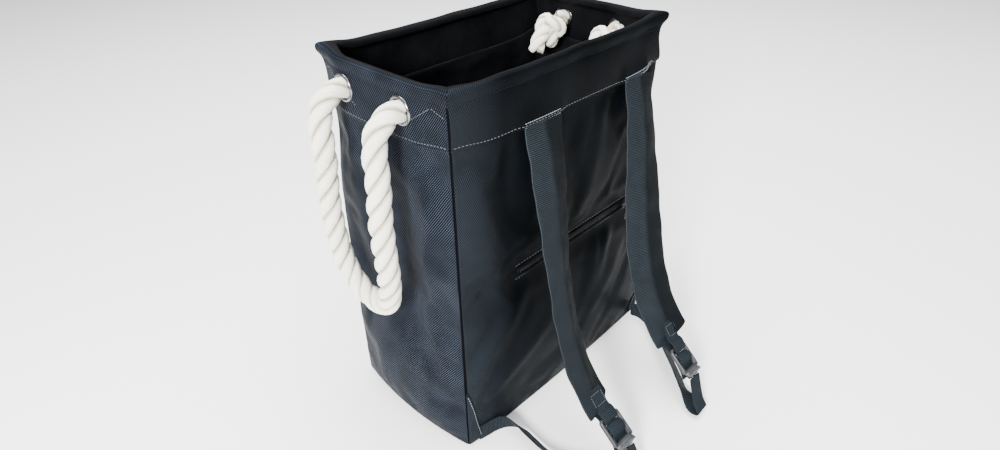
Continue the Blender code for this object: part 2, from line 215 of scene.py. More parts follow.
# ---- materials ----------------------------------------------------------------------------------
class Nodes:
    """A short way to write a node material."""

    def __init__(self, name):
        self.material = bpy.data.materials.new(name)
        self.material.use_nodes = True
        self.tree = self.material.node_tree
        self.bsdf = self.tree.nodes["Principled BSDF"]

    def add(self, kind, **settings):
        node = self.tree.nodes.new(kind)
        for key, value in settings.items():
            setattr(node, key, value)
        return node

    def link(self, source, target):
        self.tree.links.new(source, target)

    def coords(self, kind="UV", scale=(1, 1, 1), rotation=(0, 0, 0)):
        coordinate = self.add("ShaderNodeTexCoord")
        mapping = self.add("ShaderNodeMapping")
        mapping.inputs["Scale"].default_value = scale
        mapping.inputs["Rotation"].default_value = rotation
        self.link(coordinate.outputs[kind], mapping.inputs["Vector"])
        return mapping.outputs["Vector"]

    def add_axis(self, kind, axis):
        """One coordinate as a value."""
        split = self.add("ShaderNodeSeparateXYZ")
        self.link(self.coords(kind), split.inputs[0])
        return split.outputs[axis]

    def noise(self, vector, scale, detail=2.0, roughness=0.5):
        node = self.add("ShaderNodeTexNoise")
        node.inputs["Scale"].default_value = scale
        node.inputs["Detail"].default_value = detail
        node.inputs["Roughness"].default_value = roughness
        self.link(vector, node.inputs["Vector"])
        return node.outputs["Fac"]

    def bands(self, vector, period, direction="X", distortion=0.0):
        """Ribs with this period in metres."""
        node = self.add("ShaderNodeTexWave", wave_type="BANDS", bands_direction=direction)
        node.inputs["Scale"].default_value = 2 * math.pi / (20 * period)
        node.inputs["Distortion"].default_value = distortion
        node.inputs["Detail"].default_value = 1.0
        self.link(vector, node.inputs["Vector"])
        return node.outputs["Fac"]

    def math(self, operation, a, b=0.5):
        node = self.add("ShaderNodeMath", operation=operation)
        for socket, value in zip(node.inputs, (a, b)):
            if isinstance(value, (int, float)):
                socket.default_value = value
            else:
                self.link(value, socket)
        return node.outputs[0]

    def remap(self, value, low, high, to_low=0.0, to_high=1.0):
        node = self.add("ShaderNodeMapRange")
        node.inputs["From Min"].default_value = low
        node.inputs["From Max"].default_value = high
        node.inputs["To Min"].default_value = to_low
        node.inputs["To Max"].default_value = to_high
        self.link(value, node.inputs["Value"])
        return node.outputs["Result"]

    def blend(self, factor, a, b):
        node = self.add("ShaderNodeMix", data_type="RGBA")
        self.link(factor, node.inputs["Factor"])
        for socket, value in zip((node.inputs[6], node.inputs[7]), (a, b)):
            if isinstance(value, tuple):
                socket.default_value = (*value, 1.0)
            else:
                self.link(value, socket)
        return node.outputs[2]

    def bump(self, height, distance, strength=1.0, under=None):
        node = self.add("ShaderNodeBump")
        node.inputs["Distance"].default_value = distance
        node.inputs["Strength"].default_value = strength
        self.link(height, node.inputs["Height"])
        if under is not None:
            self.link(under, node.inputs["Normal"])
        return node.outputs["Normal"]

    def finish(self, colour=None, roughness=None, normal=None, **fixed):
        for socket, value in (("Base Color", colour), ("Roughness", roughness)):
            if isinstance(value, (tuple, float)):
                self.bsdf.inputs[socket].default_value = (
                    (*value, 1.0) if isinstance(value, tuple) else value)
            elif value is not None:
                self.link(value, self.bsdf.inputs[socket])
        if normal is not None:
            self.link(normal, self.bsdf.inputs["Normal"])
        for key, value in fixed.items():
            self.bsdf.inputs[key.replace("_", " ")].default_value = value
        return self.material


def twill_material(name="coated_twill", shade=1.0, rib=0.0021):
    """Heavy coated twill: diagonal ribs of short floats over a near-black blue ground."""
    m = Nodes(name)
    uv = m.coords()
    diagonal = m.coords(rotation=(0, 0, math.radians(38)))
    ribs = m.bands(diagonal, rib, "X", 0.25)
    floats = m.bands(uv, rib * 1.05, "Y", 0.4)
    thread = m.math("MULTIPLY", ribs, m.remap(floats, 0.0, 0.8, 0.70, 1.0))
    tone = m.noise(uv, 24.0, 3.0, 0.6)
    patchy = m.math("MULTIPLY", m.remap(thread, 0.50, 0.96), m.remap(tone, 0.35, 0.70, 0.45, 1.0))
    low = tuple(c * shade for c in (0.0002, 0.0003, 0.0007))
    high = tuple(c * shade for c in (0.053, 0.067, 0.094))
    colour = m.blend(patchy, low, high)
    fibre = m.noise(uv, 2600.0, 2.0, 0.6)
    relief = m.math("ADD", thread, m.math("MULTIPLY", fibre, 0.35))
    crumple = m.bump(m.noise(uv, 34.0, 2.0, 0.5), 0.0014, 0.30)
    normal = m.bump(relief, 0.00040, 0.85, crumple)
    roughness = m.remap(tone, 0.3, 0.7, 0.38, 0.52)
    return m.finish(colour, roughness, normal, Specular_IOR_Level=0.015)


def shaded_front_twill_material():
    """The same cloth on the front faces, darkened with painted shade since the front is turned from
    the key light: near black, its ribs only just showing, least where the coating is pressed flat,
    with a soft gloss."""
    m = Nodes("front_twill_painted_shade")
    ribs = m.bands(m.coords(rotation=(0, 0, math.radians(38))), 0.0019, "X", 0.25)
    pressed = m.remap(m.noise(m.coords(scale=(1.0, 0.45, 1.0)), 9.0, 3.0, 0.55), 0.42, 0.62)
    # painted light: the ribs show lighter towards the left end, where the key light grazes the
    # front, and towards the floor; the same mask deepens their relief
    lit_near_left_end = m.remap(m.add_axis("Object", 0), -X_OUT + 0.012, -X_OUT + 0.085, 1.0, 0.0)
    lit_near_floor = m.remap(m.add_axis("Object", 2), 0.02, 0.24, 0.60, 0.0)
    painted_light_and_relief_mask = m.math("MAXIMUM", lit_near_left_end, lit_near_floor)
    shows = m.math("MULTIPLY", m.remap(ribs, 0.40, 0.95), m.math(
        "MAXIMUM", painted_light_and_relief_mask, m.remap(pressed, 0.0, 1.0, 0.22, 0.03)))
    colour = m.blend(shows, (0.0004, 0.0006, 0.0007), (0.023, 0.029, 0.037))
    relief = m.math("MULTIPLY", ribs, m.math("MAXIMUM", painted_light_and_relief_mask, 0.35))
    crumple = m.bump(m.noise(m.coords(scale=(1.0, 0.6, 1.0)), 30.0, 2.0, 0.5), 0.0016, 0.30)
    normal = m.bump(relief, 0.00034, 0.8, crumple)
    return m.finish(colour, m.remap(pressed, 0.0, 1.0, 0.46, 0.36), normal,
                    Specular_IOR_Level=0.012)


def seam_shade_material():
    """Painted shade down in a corner seam's groove: nearly black, with a felted noise."""
    m = Nodes("seam_painted_shade")
    felt = m.noise(m.coords(kind="Object"), 900.0, 3.0, 0.6)
    # painted shade: near black where the seam's groove lies in shadow
    colour = m.blend(felt, (0.0003, 0.0003, 0.0005), (0.0016, 0.0019, 0.0026))
    return m.finish(colour, 0.8, m.bump(felt, 0.0003, 0.5), Specular_IOR_Level=0.02)


def steel_material():
    """Drawn spring steel, faintly scratched along its length."""
    m = Nodes("drawn_steel")
    scratches = m.noise(m.coords(kind="Object", scale=(0.2, 1.0, 1.0)), 900.0, 3.0, 0.6)
    colour = m.blend(scratches, (0.42, 0.42, 0.43), (0.30, 0.30, 0.31))
    return m.finish(colour, m.remap(scratches, 0.3, 0.7, 0.25, 0.40),
                    m.bump(scratches, 0.00005, 0.4), Metallic=1.0)


def lining_material():
    """Thin plain-woven lining, black and nearly matt."""
    m = Nodes("black_lining")
    uv = m.coords()
    warp = m.bands(uv, 0.0011, "X")
    weft = m.bands(uv, 0.0011, "Y")
    weave = m.math("MULTIPLY", warp, weft)
    tone = m.noise(uv, 18.0, 3.0)
    colour = m.blend(m.remap(tone, 0.3, 0.7), (0.0016, 0.0017, 0.0021), (0.0040, 0.0043, 0.0052))
    wrinkles = m.bump(m.noise(m.coords(scale=(1.0, 0.55, 1.0)), 26.0, 4.0, 0.6), 0.006, 0.45)
    normal = m.bump(weave, 0.0002, 0.6, wrinkles)
    return m.finish(colour, m.remap(tone, 0.3, 0.7, 0.50, 0.66), normal, Specular_IOR_Level=0.03)


def webbing_material(name, rib, across="Y", low=(0.0022, 0.0030, 0.0042),
                     high=(0.026, 0.035, 0.043), selvedge=0.0):
    """Woven webbing: raised ribs across its width, each broken into fine warp threads. selvedge
    is the width of a paler edge; where it is given, the half past the strap's crease is darkened
    with painted shade."""
    m = Nodes(name)
    uv = m.coords()
    ribs = m.bands(uv, rib, across, 0.15)
    warp = m.bands(uv, 0.0010, "X" if across == "Y" else "Y", 0.2)
    relief = m.math("ADD", m.math("MULTIPLY", ribs, 0.8), m.math("MULTIPLY", warp, 0.3))
    tone = m.noise(uv, 45.0, 3.0, 0.6)
    light = m.math("MULTIPLY", m.remap(ribs, 0.25, 0.95), m.remap(tone, 0.3, 0.7, 0.55, 1.0))
    colour = m.blend(light, low, high)
    if selvedge:
        across_web = m.add_axis("UV", 0)
        # painted shade: the half of the strap past its crease, turned from the light, is darkened
        shaded_far_half = m.remap(across_web, STRAP_WIDTH * 0.46, STRAP_WIDTH * 0.56, 0.0, 1.0)
        colour = m.blend(shaded_far_half, colour, m.blend(light, tuple(c * 0.5 for c in low),
                                                 tuple(c * 0.36 for c in high)))
        edge = m.remap(across_web, selvedge * 0.5, selvedge, 1.0, 0.0)
        colour = m.blend(m.math("MULTIPLY", edge, 0.8), colour, (0.034, 0.043, 0.052))
    fibre = m.noise(uv, 3000.0, 2.0, 0.6)
    normal = m.bump(m.math("ADD", relief, m.math("MULTIPLY", fibre, 0.25)), 0.0004, 0.9)
    return m.finish(colour, m.remap(tone, 0.3, 0.7, 0.50, 0.66), normal, Specular_IOR_Level=0.02)


def cotton_material(name, round_strand):
    """Soft unbleached cotton: fine yarns laid along each strand, with painted shade, darker and
    warmer, down between the yarns and on each strand's inner side in the grooves. round_strand is
    the distance round one strand."""
    m = Nodes(name)
    uv = m.coords(rotation=(0, 0, math.radians(14)))
    yarns = m.bands(uv, 0.0017, "X", 1.2)
    fuzz = m.noise(m.coords(kind="Object"), 900.0, 4.0, 0.65)
    soil = m.noise(m.coords(kind="Object"), 45.0, 3.0, 0.6)
    tint = m.blend(m.remap(soil, 0.35, 0.75), (0.90, 0.885, 0.785), (0.80, 0.775, 0.66))
    # painted shade between the yarns
    colour = m.blend(m.remap(yarns, 0.0, 0.35, 0.60, 0.0), tint, (0.60, 0.55, 0.43))
    # painted shade on each strand's inner side, down in the grooves between strands
    outermost = m.math("ABSOLUTE", m.math("SUBTRACT", m.math(
        "DIVIDE", m.add_axis("UV", 0), round_strand), 0.5))
    colour = m.blend(m.remap(outermost, 0.27, 0.37, 0.85, 0.0), colour, (0.34, 0.29, 0.19))
    relief = m.math("ADD", m.math("MULTIPLY", yarns, 0.6), m.math("MULTIPLY", fuzz, 0.7))
    normal = m.bump(relief, 0.0010, 0.75)
    return m.finish(colour, 0.88, normal, Sheen_Weight=0.35, Sheen_Roughness=0.5,
                    Subsurface_Weight=0.08, Subsurface_Scale=0.004)


def nickel_material():
    m = Nodes("nickel_plate")
    obj = m.coords(kind="Object")
    haze = m.noise(obj, 160.0, 3.0, 0.6)
    scratches = m.noise(m.coords(kind="Object", scale=(1.0, 6.0, 1.0)), 700.0, 2.0)
    colour = m.blend(m.remap(haze, 0.35, 0.7), (0.22, 0.22, 0.22), (0.12, 0.12, 0.125))
    return m.finish(colour, m.remap(haze, 0.3, 0.7, 0.14, 0.30), m.bump(scratches, 0.00006, 0.4),
                    Metallic=1.0)


def plastic_material(name="moulded_plastic", dark=(0.006, 0.007, 0.009),
                     worn=(0.016, 0.018, 0.021)):
    """Moulded acetal: fine spark texture, polished a little where webbing rubs it."""
    m = Nodes(name)
    obj = m.coords(kind="Object")
    grain = m.noise(obj, 2400.0, 2.0, 0.5)
    wear = m.noise(obj, 90.0, 3.0, 0.6)
    colour = m.blend(m.remap(wear, 0.4, 0.7), dark, worn)
    return m.finish(colour, m.remap(wear, 0.35, 0.7, 0.46, 0.30), m.bump(grain, 0.00012, 0.5))


def zip_metal_material():
    m = Nodes("black_zip_enamel")
    wear = m.noise(m.coords(kind="Object"), 400.0, 3.0, 0.6)
    colour = m.blend(m.remap(wear, 0.55, 0.75), (0.004, 0.004, 0.005), (0.06, 0.06, 0.064))
    return m.finish(colour, m.remap(wear, 0.3, 0.7, 0.24, 0.42), m.bump(wear, 0.0001, 0.3),
                    Metallic=0.6)


def thread_material(name, dark, light, shine=0.5):
    """Polyester sewing thread, a twisted pair."""
    m = Nodes(name)
    twist = m.bands(m.coords(kind="Object", rotation=(0.4, 0.5, 0.6)), 0.0006, "DIAGONAL")
    colour = m.blend(twist, dark, light)
    return m.finish(colour, 0.5, m.bump(twist, 0.0001, 0.5), Sheen_Weight=0.2 * shine,
                    Specular_IOR_Level=shine)


TWILL = twill_material()
BAND_TWILL = twill_material("coated_twill_band", 0.85)
# painted shade: the same twill made darker for the faces turned from the key light
SHADED_FRONT_TWILL = shaded_front_twill_material()
# painted shade for the corner seams
SEAM_SHADE = seam_shade_material()
STEEL = steel_material()
LINING = lining_material()
# with a selvedge, so its half past the crease gets painted shade
STRAP_WEB = webbing_material("strap_webbing", 0.0021, "Y", (0.0045, 0.0060, 0.0072),
                             (0.0200, 0.0262, 0.0318), 0.0010)
NARROW_WEB = webbing_material("narrow_webbing", 0.0020)
ZIP_TAPE = webbing_material("zip_tape_knit", 0.0012, "X", (0.0016, 0.0019, 0.0025),
                            (0.010, 0.012, 0.015))
COTTON = cotton_material("cotton_rope", 0.0405)
KNOT_COTTON = cotton_material("cotton_rope_knotted", 0.0300)
NICKEL = nickel_material()
PLASTIC = plastic_material()
THUMB_PLASTIC = plastic_material("rubbed_plastic", (0.020, 0.022, 0.024), (0.05, 0.053, 0.056))
ZIP_METAL = zip_metal_material()
THREAD = thread_material("sewing_thread", (0.020, 0.026, 0.034), (0.080, 0.098, 0.122))
DARK_THREAD = thread_material("dark_sewing_thread", (0.002, 0.003, 0.004), (0.010, 0.013, 0.017),
                              0.03)
PALE_THREAD = thread_material("pale_sewing_thread", (0.07, 0.085, 0.105), (0.24, 0.28, 0.33))


def dress(obj, *materials):
    obj.data.materials.clear()
    for material in materials:
        obj.data.materials.append(material)
    return obj


# ---- camera, floor and light --------------------------------------------------------------------
def make_camera():
    """The view down onto the near corner of the bag, close and wide."""
    azimuth = math.radians(-45.58)
    elevation = math.radians(32.77)
    roll = math.radians(-1.204)
    target = Vector((-0.0074, 0.0074, 0.1998))
    back = Vector((math.sin(azimuth) * math.cos(elevation),
                   -math.cos(azimuth) * math.cos(elevation), math.sin(elevation)))
    right = Vector((0, 0, 1)).cross(back).normalized()
    up = back.cross(right)
    right_rolled = math.cos(roll) * right + math.sin(roll) * up
    up_rolled = math.cos(roll) * up - math.sin(roll) * right
    data = bpy.data.cameras.new("camera")
    data.sensor_width = 36.0
    data.lens = 22.92
    camera = bpy.data.objects.new("camera", data)
    turn = Matrix((right_rolled, up_rolled, back)).transposed().to_4x4()
    camera.matrix_world = Matrix.Translation(target + back * 0.8665) @ turn
    bpy.context.scene.collection.objects.link(camera)
    bpy.context.scene.camera = camera


def area_light(name, location, target, size, power, colour=(1, 1, 1)):
    data = bpy.data.lights.new(name, "AREA")
    data.shape = "RECTANGLE"
    data.size, data.size_y = size
    data.energy = power
    data.color = colour
    light = bpy.data.objects.new(name, data)
    direction = Vector(target) - Vector(location)
    light.location = location
    light.rotation_euler = direction.to_track_quat("-Z", "Y").to_euler()
    bpy.context.scene.collection.objects.link(light)


def make_studio():
    bm = bmesh.new()
    bmesh.ops.create_grid(bm, x_segments=2, y_segments=2, size=6.0)
    mesh = bpy.data.meshes.new("floor")
    bm.to_mesh(mesh)
    bm.free()
    floor = new_object("floor", mesh)
    m = Nodes("pale_floor")
    dress(floor, m.finish((0.94, 0.94, 0.94), 0.75))
    world = bpy.data.worlds.new("studio")
    world.use_nodes = True
    world.node_tree.nodes["Background"].inputs["Color"].default_value = (0.95, 0.97, 1.0, 1.0)
    world.node_tree.nodes["Background"].inputs["Strength"].default_value = 0.62
    bpy.context.scene.world = world
    area_light("top", (0.3, 0.2, 2.4), (0.1, 0.1, 0.0), (2.6, 2.6), 215)
    area_light("key", (-1.72, -0.85, 1.15), (-0.1, 0.0, 0.22), (0.45, 0.45), 165, (1.0, 0.99, 0.97))
    area_light("front_glow", (1.6, -1.9, 0.9), (0.1, 0.0, 0.20), (0.5, 1.6), 1.5)


make_camera()
make_studio()


# ---- stitching ----------------------------------------------------------------------------------
def stitches(name, path, normals, length=0.0034, gap=0.0014, radius=0.00035,
             material=THREAD):
    """A row of separate stitches along a path, each a short fat thread sunk at its ends."""
    path = np.asarray(path, float)
    s = distances(path)
    pitch = length + gap
    count = int(s[-1] / pitch)
    bm = bmesh.new()
    for index in range(count):
        start = (index + 0.5) * pitch - length / 2
        at = start + length * np.linspace(0.0, 1.0, 5)
        centre = np.column_stack([np.interp(at, s, path[:, k]) for k in range(3)])
        normal = np.column_stack([np.interp(at, s, normals[:, k]) for k in range(3)])
        normal = normal / np.linalg.norm(normal, axis=1)[:, None]
        rise = np.array([-0.0003, 0.0002, 0.00035, 0.0002, -0.0003])
        thick = radius * np.array([0.5, 0.95, 1.0, 0.95, 0.5])
        centre = centre + normal * rise[:, None]
        along = tangents(centre)
        side = np.cross(along, normal)
        rows = []
        for c, n, b, r in zip(centre, normal, side, thick):
            row = []
            for corner in range(5):
                angle = 2 * math.pi * corner / 5
                row.append(bm.verts.new(tuple(c + r * (math.cos(angle) * n + math.sin(angle) * b))))
            rows.append(row)
        for first, second in zip(rows, rows[1:]):
            for i in range(5):
                j = (i + 1) % 5
                bm.faces.new((first[i], first[j], second[j], second[i]))
        bm.faces.new(list(reversed(rows[0])))
        bm.faces.new(rows[-1])
    bmesh.ops.recalc_face_normals(bm, faces=bm.faces)
    mesh = bpy.data.meshes.new(name)
    bm.to_mesh(mesh)
    bm.free()
    mesh.shade_smooth()
    return dress(new_object(name, mesh), material)


# ---- the walls ----------------------------------------------------------------------------------
def perimeter(half_x, half_y, spacing, beside=0.0):
    """Points round a rectangle, seen from above: down the left end, along the front, up the right
    end and back. Each corner is a point, with one more this far beside it each way."""
    xs = max(2, int(round(2 * half_x / spacing)))
    ys = max(2, int(round(2 * half_y / spacing)))
    out = []
    corners = [(-half_x, half_y), (-half_x, -half_y), (half_x, -half_y), (half_x, half_y)]
    counts = [ys, xs, ys, xs]
    for k in range(4):
        a = np.array(corners[k])
        b = np.array(corners[(k + 1) % 4])
        shares = [step / counts[k] for step in range(counts[k])]
        if beside:
            edge = beside / float(np.linalg.norm(b - a))
            shares = [0.0, edge, *shares[1:], 1.0 - edge]
        counts[k] = len(shares)
        out.extend(a + (b - a) * share for share in shares)
    return np.array(out), counts


WALL_SPACING = 0.0075
SEAM_SIDE = 0.0008
SEAM_DEPTH = 0.0026
SAG_REACH = 0.038
ZIP_WALL_Y = Y_OUT - 0.0005


def band_sag(x, y):
    """How far the band's lower edge stands above its middle height: up at the four corners, where
    the rim wire holds it, and down between them."""
    aside = (X_OUT - np.minimum(np.abs(x), X_OUT)) + (Y_OUT - np.minimum(np.abs(y), Y_OUT))
    return 0.0085 * np.exp(-(aside / SAG_REACH) ** 2) - 0.0032


def end_pull(x, y, height):
    """How far the band's ends are drawn in along X at a height above its lower edge: all of the
    right end, its front corner most, and the back corner of the left end."""
    right = smoothstep(x, 0.35 * X_OUT, X_OUT)
    left = smoothstep(-x, 0.35 * X_OUT, X_OUT) * smoothstep(y, 0.062, 0.112)
    in_hem = smoothstep(height, 0.040, 0.054)
    corner = 0.0140 + 0.0050 * smoothstep(height, 0.0, 0.030) - 0.0090 * in_hem
    at_right = (0.0045 + 0.0060 * smoothstep(height, 0.010, 0.052)
                + corner * np.exp(-((y + Y_OUT) / 0.045) ** 2))
    return left * (0.0130 - 0.0025 * in_hem) - right * at_right


def sag_at(x, y, height):
    """band_sag at a place on the band as it stands, with its ends drawn in."""
    before = x
    for _ in range(8):
        before = x - end_pull(before, y, height)
    return band_sag(before, y)


def near_zip(x, z, flat=0.012, fall=0.022):
    """1 on the stretch of front wall that the zip keeps flat, falling to 0 around it."""
    aside = np.maximum(np.maximum(TAPE_LOW[0] - x, x - TAPE_HIGH[0]), 0.0)
    away = np.maximum(np.hypot(aside, z - ZIP_Z) - flat, 0.0)
    return 1.0 - smoothstep(away, 0.0, fall)


def wall_rest_shape():
    """The walls as they stand: in at the waist, out where the contents rest near the floor."""
    ring, counts = perimeter(X_OUT - 0.0012, Y_OUT - 0.0012, WALL_SPACING, SEAM_SIDE)
    top = BAND_BOTTOM + 0.003
    bottom = 0.0022
    heights = np.linspace(bottom, top, int(round((top - bottom) / WALL_SPACING)) + 1)
    rings = []
    for z in heights:
        up = (z - bottom) / (top - bottom)
        points = ring.copy()
        across_x = np.clip(points[:, 0] / X_OUT, -1, 1)
        across_y = np.clip(points[:, 1] / Y_OUT, -1, 1)
        mid_y = 1.0 - across_y ** 2
        mid_x = 1.0 - across_x ** 2
        on_left = points[:, 0] < -X_OUT + 0.002
        on_right = points[:, 0] > X_OUT - 0.002
        on_front = points[:, 1] < -Y_OUT + 0.002
        on_back = points[:, 1] > Y_OUT - 0.002
        low_swell = math.exp(-((up - 0.10) / 0.28) ** 2)
        middle = math.sin(math.pi * min(1.0, up)) ** 1.2
        points[:, 0] -= on_left * mid_y * (0.0125 * low_swell + 0.002 * middle)
        points[:, 0] += on_right * mid_y * (0.0100 * low_swell - 0.004 * middle)
        points[:, 1] -= on_front * mid_x * (0.0050 * low_swell + 0.0060 * middle)
        points[:, 1] += on_back * mid_x * (0.0050 * low_swell + 0.0045 * middle)
        points[:, 1] = np.where(on_front, points[:, 1] + (-ZIP_WALL_Y - points[:, 1])
                                * near_zip(points[:, 0], z), points[:, 1])
        waist = math.exp(-((up - 0.80) / 0.20) ** 2) * smoothstep(1.0 - up, 0.0, 0.10)
        points[:, 0] -= 0.0095 * waist * smoothstep(across_x, 0.2, 1.0)
        points[:, 0] += 0.0035 * waist * smoothstep(-across_x, 0.6, 1.0) * (across_y > 0.9)
        for corner in np.cumsum([0] + counts[:3]):
            points[corner] -= np.sign(points[corner]) * SEAM_DEPTH / math.sqrt(2)
        near_band = float(smoothstep(up, 0.70, 1.0))
        points[:, 0] += end_pull(ring[:, 0], ring[:, 1], 0.0) * near_band
        lifted = z + band_sag(ring[:, 0], ring[:, 1]) * near_band
        rings.append(np.column_stack([points, lifted]))
    return np.array(rings), counts


def settle(obj, frames, pinned, shrink, pressure, cap):
    """A short cloth simulation without gravity, its result kept in the mesh. No point moves more
    than cap from where it started."""
    start = points_of(obj)
    group = obj.vertex_groups.new(name="sewn")
    for index, weight in pinned.items():
        group.add([index], weight, "REPLACE")
    cloth = obj.modifiers.new("cloth", "CLOTH")
    for name, value in (
            ("quality", 6), ("mass", 0.35), ("tension_stiffness", 22),
            ("compression_stiffness", 14), ("shear_stiffness", 5), ("bending_stiffness", 0.9),
            ("air_damping", 3.0), ("shrink_min", shrink), ("vertex_group_mass", "sewn"),
            ("pin_stiffness", 6), ("use_pressure", True), ("uniform_pressure_force", pressure)):
        setattr(cloth.settings, name, value)
    cloth.settings.effector_weights.gravity = 0.0
    cloth.point_cache.frame_start = 1
    cloth.point_cache.frame_end = frames
    scene = bpy.context.scene
    for number in range(1, frames + 1):
        scene.frame_set(number)
    settled = points_of(obj.evaluated_get(bpy.context.evaluated_depsgraph_get()))
    obj.modifiers.remove(cloth)
    obj.vertex_groups.remove(group)
    scene.frame_set(1)
    move = settled - start
    size = np.linalg.norm(move, axis=1)
    size[size < 1e-9] = 1e-9
    limited = cap * np.tanh(size / cap)
    move_points(obj, start + move * (limited / size)[:, None])


def fold_depth(along, z, folds):
    """How far the folds that cross a place push the wall out there."""
    fold = 0.0
    for at, height, slope, width, depth, reach in folds:
        run = (along - at) * math.cos(slope) + (z - height) * math.sin(slope)
        off = -(along - at) * math.sin(slope) + (z - height) * math.cos(slope)
        fold += depth * math.exp(-(off / width) ** 2) * math.exp(-(run / reach) ** 2)
    return fold


def add_folds(rings, counts):
    """Creases that the sewing leaves: slanting folds that run from the zip and the bottom
    corners across the front, and upright ones on the left end."""
    left_count, front_count = counts[:2]
    count = rings.shape[1]
    for ring in rings:
        for i in range(left_count, left_count + front_count + 1):
            x, _, z = ring[i % count]
            edge = smoothstep(X_OUT - abs(x), 0.0, 0.05) * smoothstep(z, 0.0, 0.05)
            edge = edge * smoothstep(BAND_BOTTOM - z, 0.0, 0.04) * (1 - near_zip(x, z))
            ring[i % count][1] -= float(fold_depth(x, z, FRONT_FOLDS) * edge)
        for i in range(left_count + 1):
            _, y, z = ring[i]
            edge = smoothstep(Y_OUT - abs(y), 0.0, 0.03) * smoothstep(z, 0.0, 0.05)
            edge = edge * smoothstep(BAND_BOTTOM - z, 0.0, 0.05)
            ring[i][0] -= float(fold_depth(y, z, LEFT_FOLDS) * edge)
    return rings


# Folds as (along the wall, height, slope, half width, depth, reach), metres and radians.
FRONT_FOLDS = [
    (-0.145, 0.300, 1.75, 0.016, 0.0060, 0.100), (-0.115, 0.335, 1.45, 0.010, -0.0035, 0.060),
    (-0.130, 0.160, 0.75, 0.012, 0.0045, 0.070), (-0.150, 0.090, 0.95, 0.010, -0.0040, 0.060),
    (-0.090, 0.110, 0.55, 0.011, 0.0042, 0.075), (-0.020, 0.070, 0.35, 0.014, -0.0035, 0.080),
    (0.020, 0.300, 1.20, 0.012, 0.0040, 0.070), (0.045, 0.250, 0.95, 0.009, -0.0030, 0.050),
    (0.070, 0.190, 1.05, 0.010, 0.0040, 0.055), (0.040, 0.170, 1.15, 0.008, 0.0032, 0.045),
    (0.060, 0.120, 0.80, 0.012, 0.0042, 0.070), (0.110, 0.110, 0.90, 0.010, -0.0036, 0.060),
    (0.150, 0.230, 1.40, 0.012, 0.0040, 0.080), (0.150, 0.330, 1.50, 0.010, -0.0040, 0.050),
    (-0.030, 0.350, 1.65, 0.012, 0.0030, 0.060),
]
LEFT_FOLDS = [
    (0.055, 0.300, 1.50, 0.010, 0.0030, 0.110), (-0.060, 0.260, 1.66, 0.009, 0.0032, 0.120),
    (-0.020, 0.220, 1.52, 0.012, -0.0028, 0.120), (-0.075, 0.120, 1.25, 0.010, 0.0030, 0.080),
    (0.030, 0.110, 1.80, 0.012, 0.0028, 0.080), (0.075, 0.180, 1.45, 0.008, -0.0026, 0.090),
]


def make_walls():
    rings, counts = wall_rest_shape()
    rings = add_folds(rings, counts)
    walls = lattice("fabric_walls", rings, caps=False)
    rows, count = rings.shape[:2]
    corners = np.cumsum([0] + counts[:3])
    pinned = {}
    for k in range(rows):
        for i in range(count):
            weight = 0.0
            if (rows - 1 - k) * WALL_SPACING < 0.009 or k * WALL_SPACING < 0.004:
                weight = 1.0
            elif min(abs((i - c + 1) % count - 1) for c in corners) <= 1:
                weight = 0.75
            elif rings[k][i][1] < -Y_OUT + 0.02:
                weight = float(near_zip(rings[k][i][0], rings[k][i][2]))
            pinned[k * count + i] = weight
    settle(walls, 28, pinned, -0.016, 0.25, 0.011)
    orient_outward(walls)
    subdivide(walls)
    cloth = walls.modifiers.new("cloth_thickness", "SOLIDIFY")
    cloth.thickness = 0.0018
    cloth.offset = -1.0
    cloth.material_offset = 1
    # the front faces take the twill's copy darkened with painted shade; the corner seams take
    # painted shade
    dress(walls, TWILL, LINING, SHADED_FRONT_TWILL, LINING, SEAM_SHADE, LINING)
    for index, polygon in enumerate(walls.data.polygons):
        polygon.material_index = wall_material(index % count, counts)
    return walls


def wall_material(place, counts):
    """0 on the ends and the back, 2 on the front (the twill darkened with painted shade) and 4 in a
    corner's seam (painted shade).
    """
    corners = np.cumsum([0] + counts)
    if place in corners or place + 1 in corners:
        return 4
    return 2 if corners[1] <= place < corners[2] else 0


def orient_outward(obj):
    """Flips an open shell whose faces point to its own middle."""
    mesh = obj.data
    centre = sum((v.co for v in mesh.vertices), Vector()) / len(mesh.vertices)
    votes = 0
    for polygon in mesh.polygons:
        away = polygon.center - centre
        away.z = 0.0
        votes += 1 if polygon.normal.dot(away) > 0 else -1
    if votes < 0:
        mesh.flip_normals()


walls = make_walls()


def surface_tree(obj):
    return BVHTree.FromObject(obj, bpy.context.evaluated_depsgraph_get())


def trace(tree, points, direction):
    """Where rays from these points meet a surface, and the surface's directions there."""
    found = []
    normals = []
    for point in points:
        hit, normal, _, _ = tree.ray_cast(Vector(point), Vector(direction))
        if hit is None:
            continue
        if normal.dot(Vector(direction)) > 0:
            normal = -normal
        found.append(hit[:])
        normals.append(normal[:])
    return np.array(found), np.array(normals)


def metres_uv(obj):
    """UV in metres on a hard piece, seen along each face's main direction."""
    mesh = obj.data
    layer = mesh.uv_layers.get("metres") or mesh.uv_layers.new(name="metres")
    for polygon in mesh.polygons:
        axis = max(range(3), key=lambda k: abs(polygon.normal[k]))
        u, v = [(1, 2), (0, 2), (0, 1)][axis]
        for loop in polygon.loop_indices:
            co = mesh.vertices[mesh.loops[loop].vertex_index].co
            layer.data[loop].uv = (co[u], co[v])
    return obj


def riding(obj, body, slot, *nodes):
    """Parents a piece to the body it rides on and hides the CAD nodes it replaces. slot is not
    used.
    """
    if nodes:
        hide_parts(*nodes)
    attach(obj, body)
    return obj


def folding(obj):
    """Gives a piece its own copy of its mesh."""
    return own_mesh(obj)


def sewn_to_walls(obj, slot, *nodes):
    folding(riding(obj, "bag", slot, *nodes))


sewn_to_walls(walls, "bag_fabric", "front_panel", "back_panel", "left_gusset", "right_gusset")
WALL_TREE = surface_tree(walls)


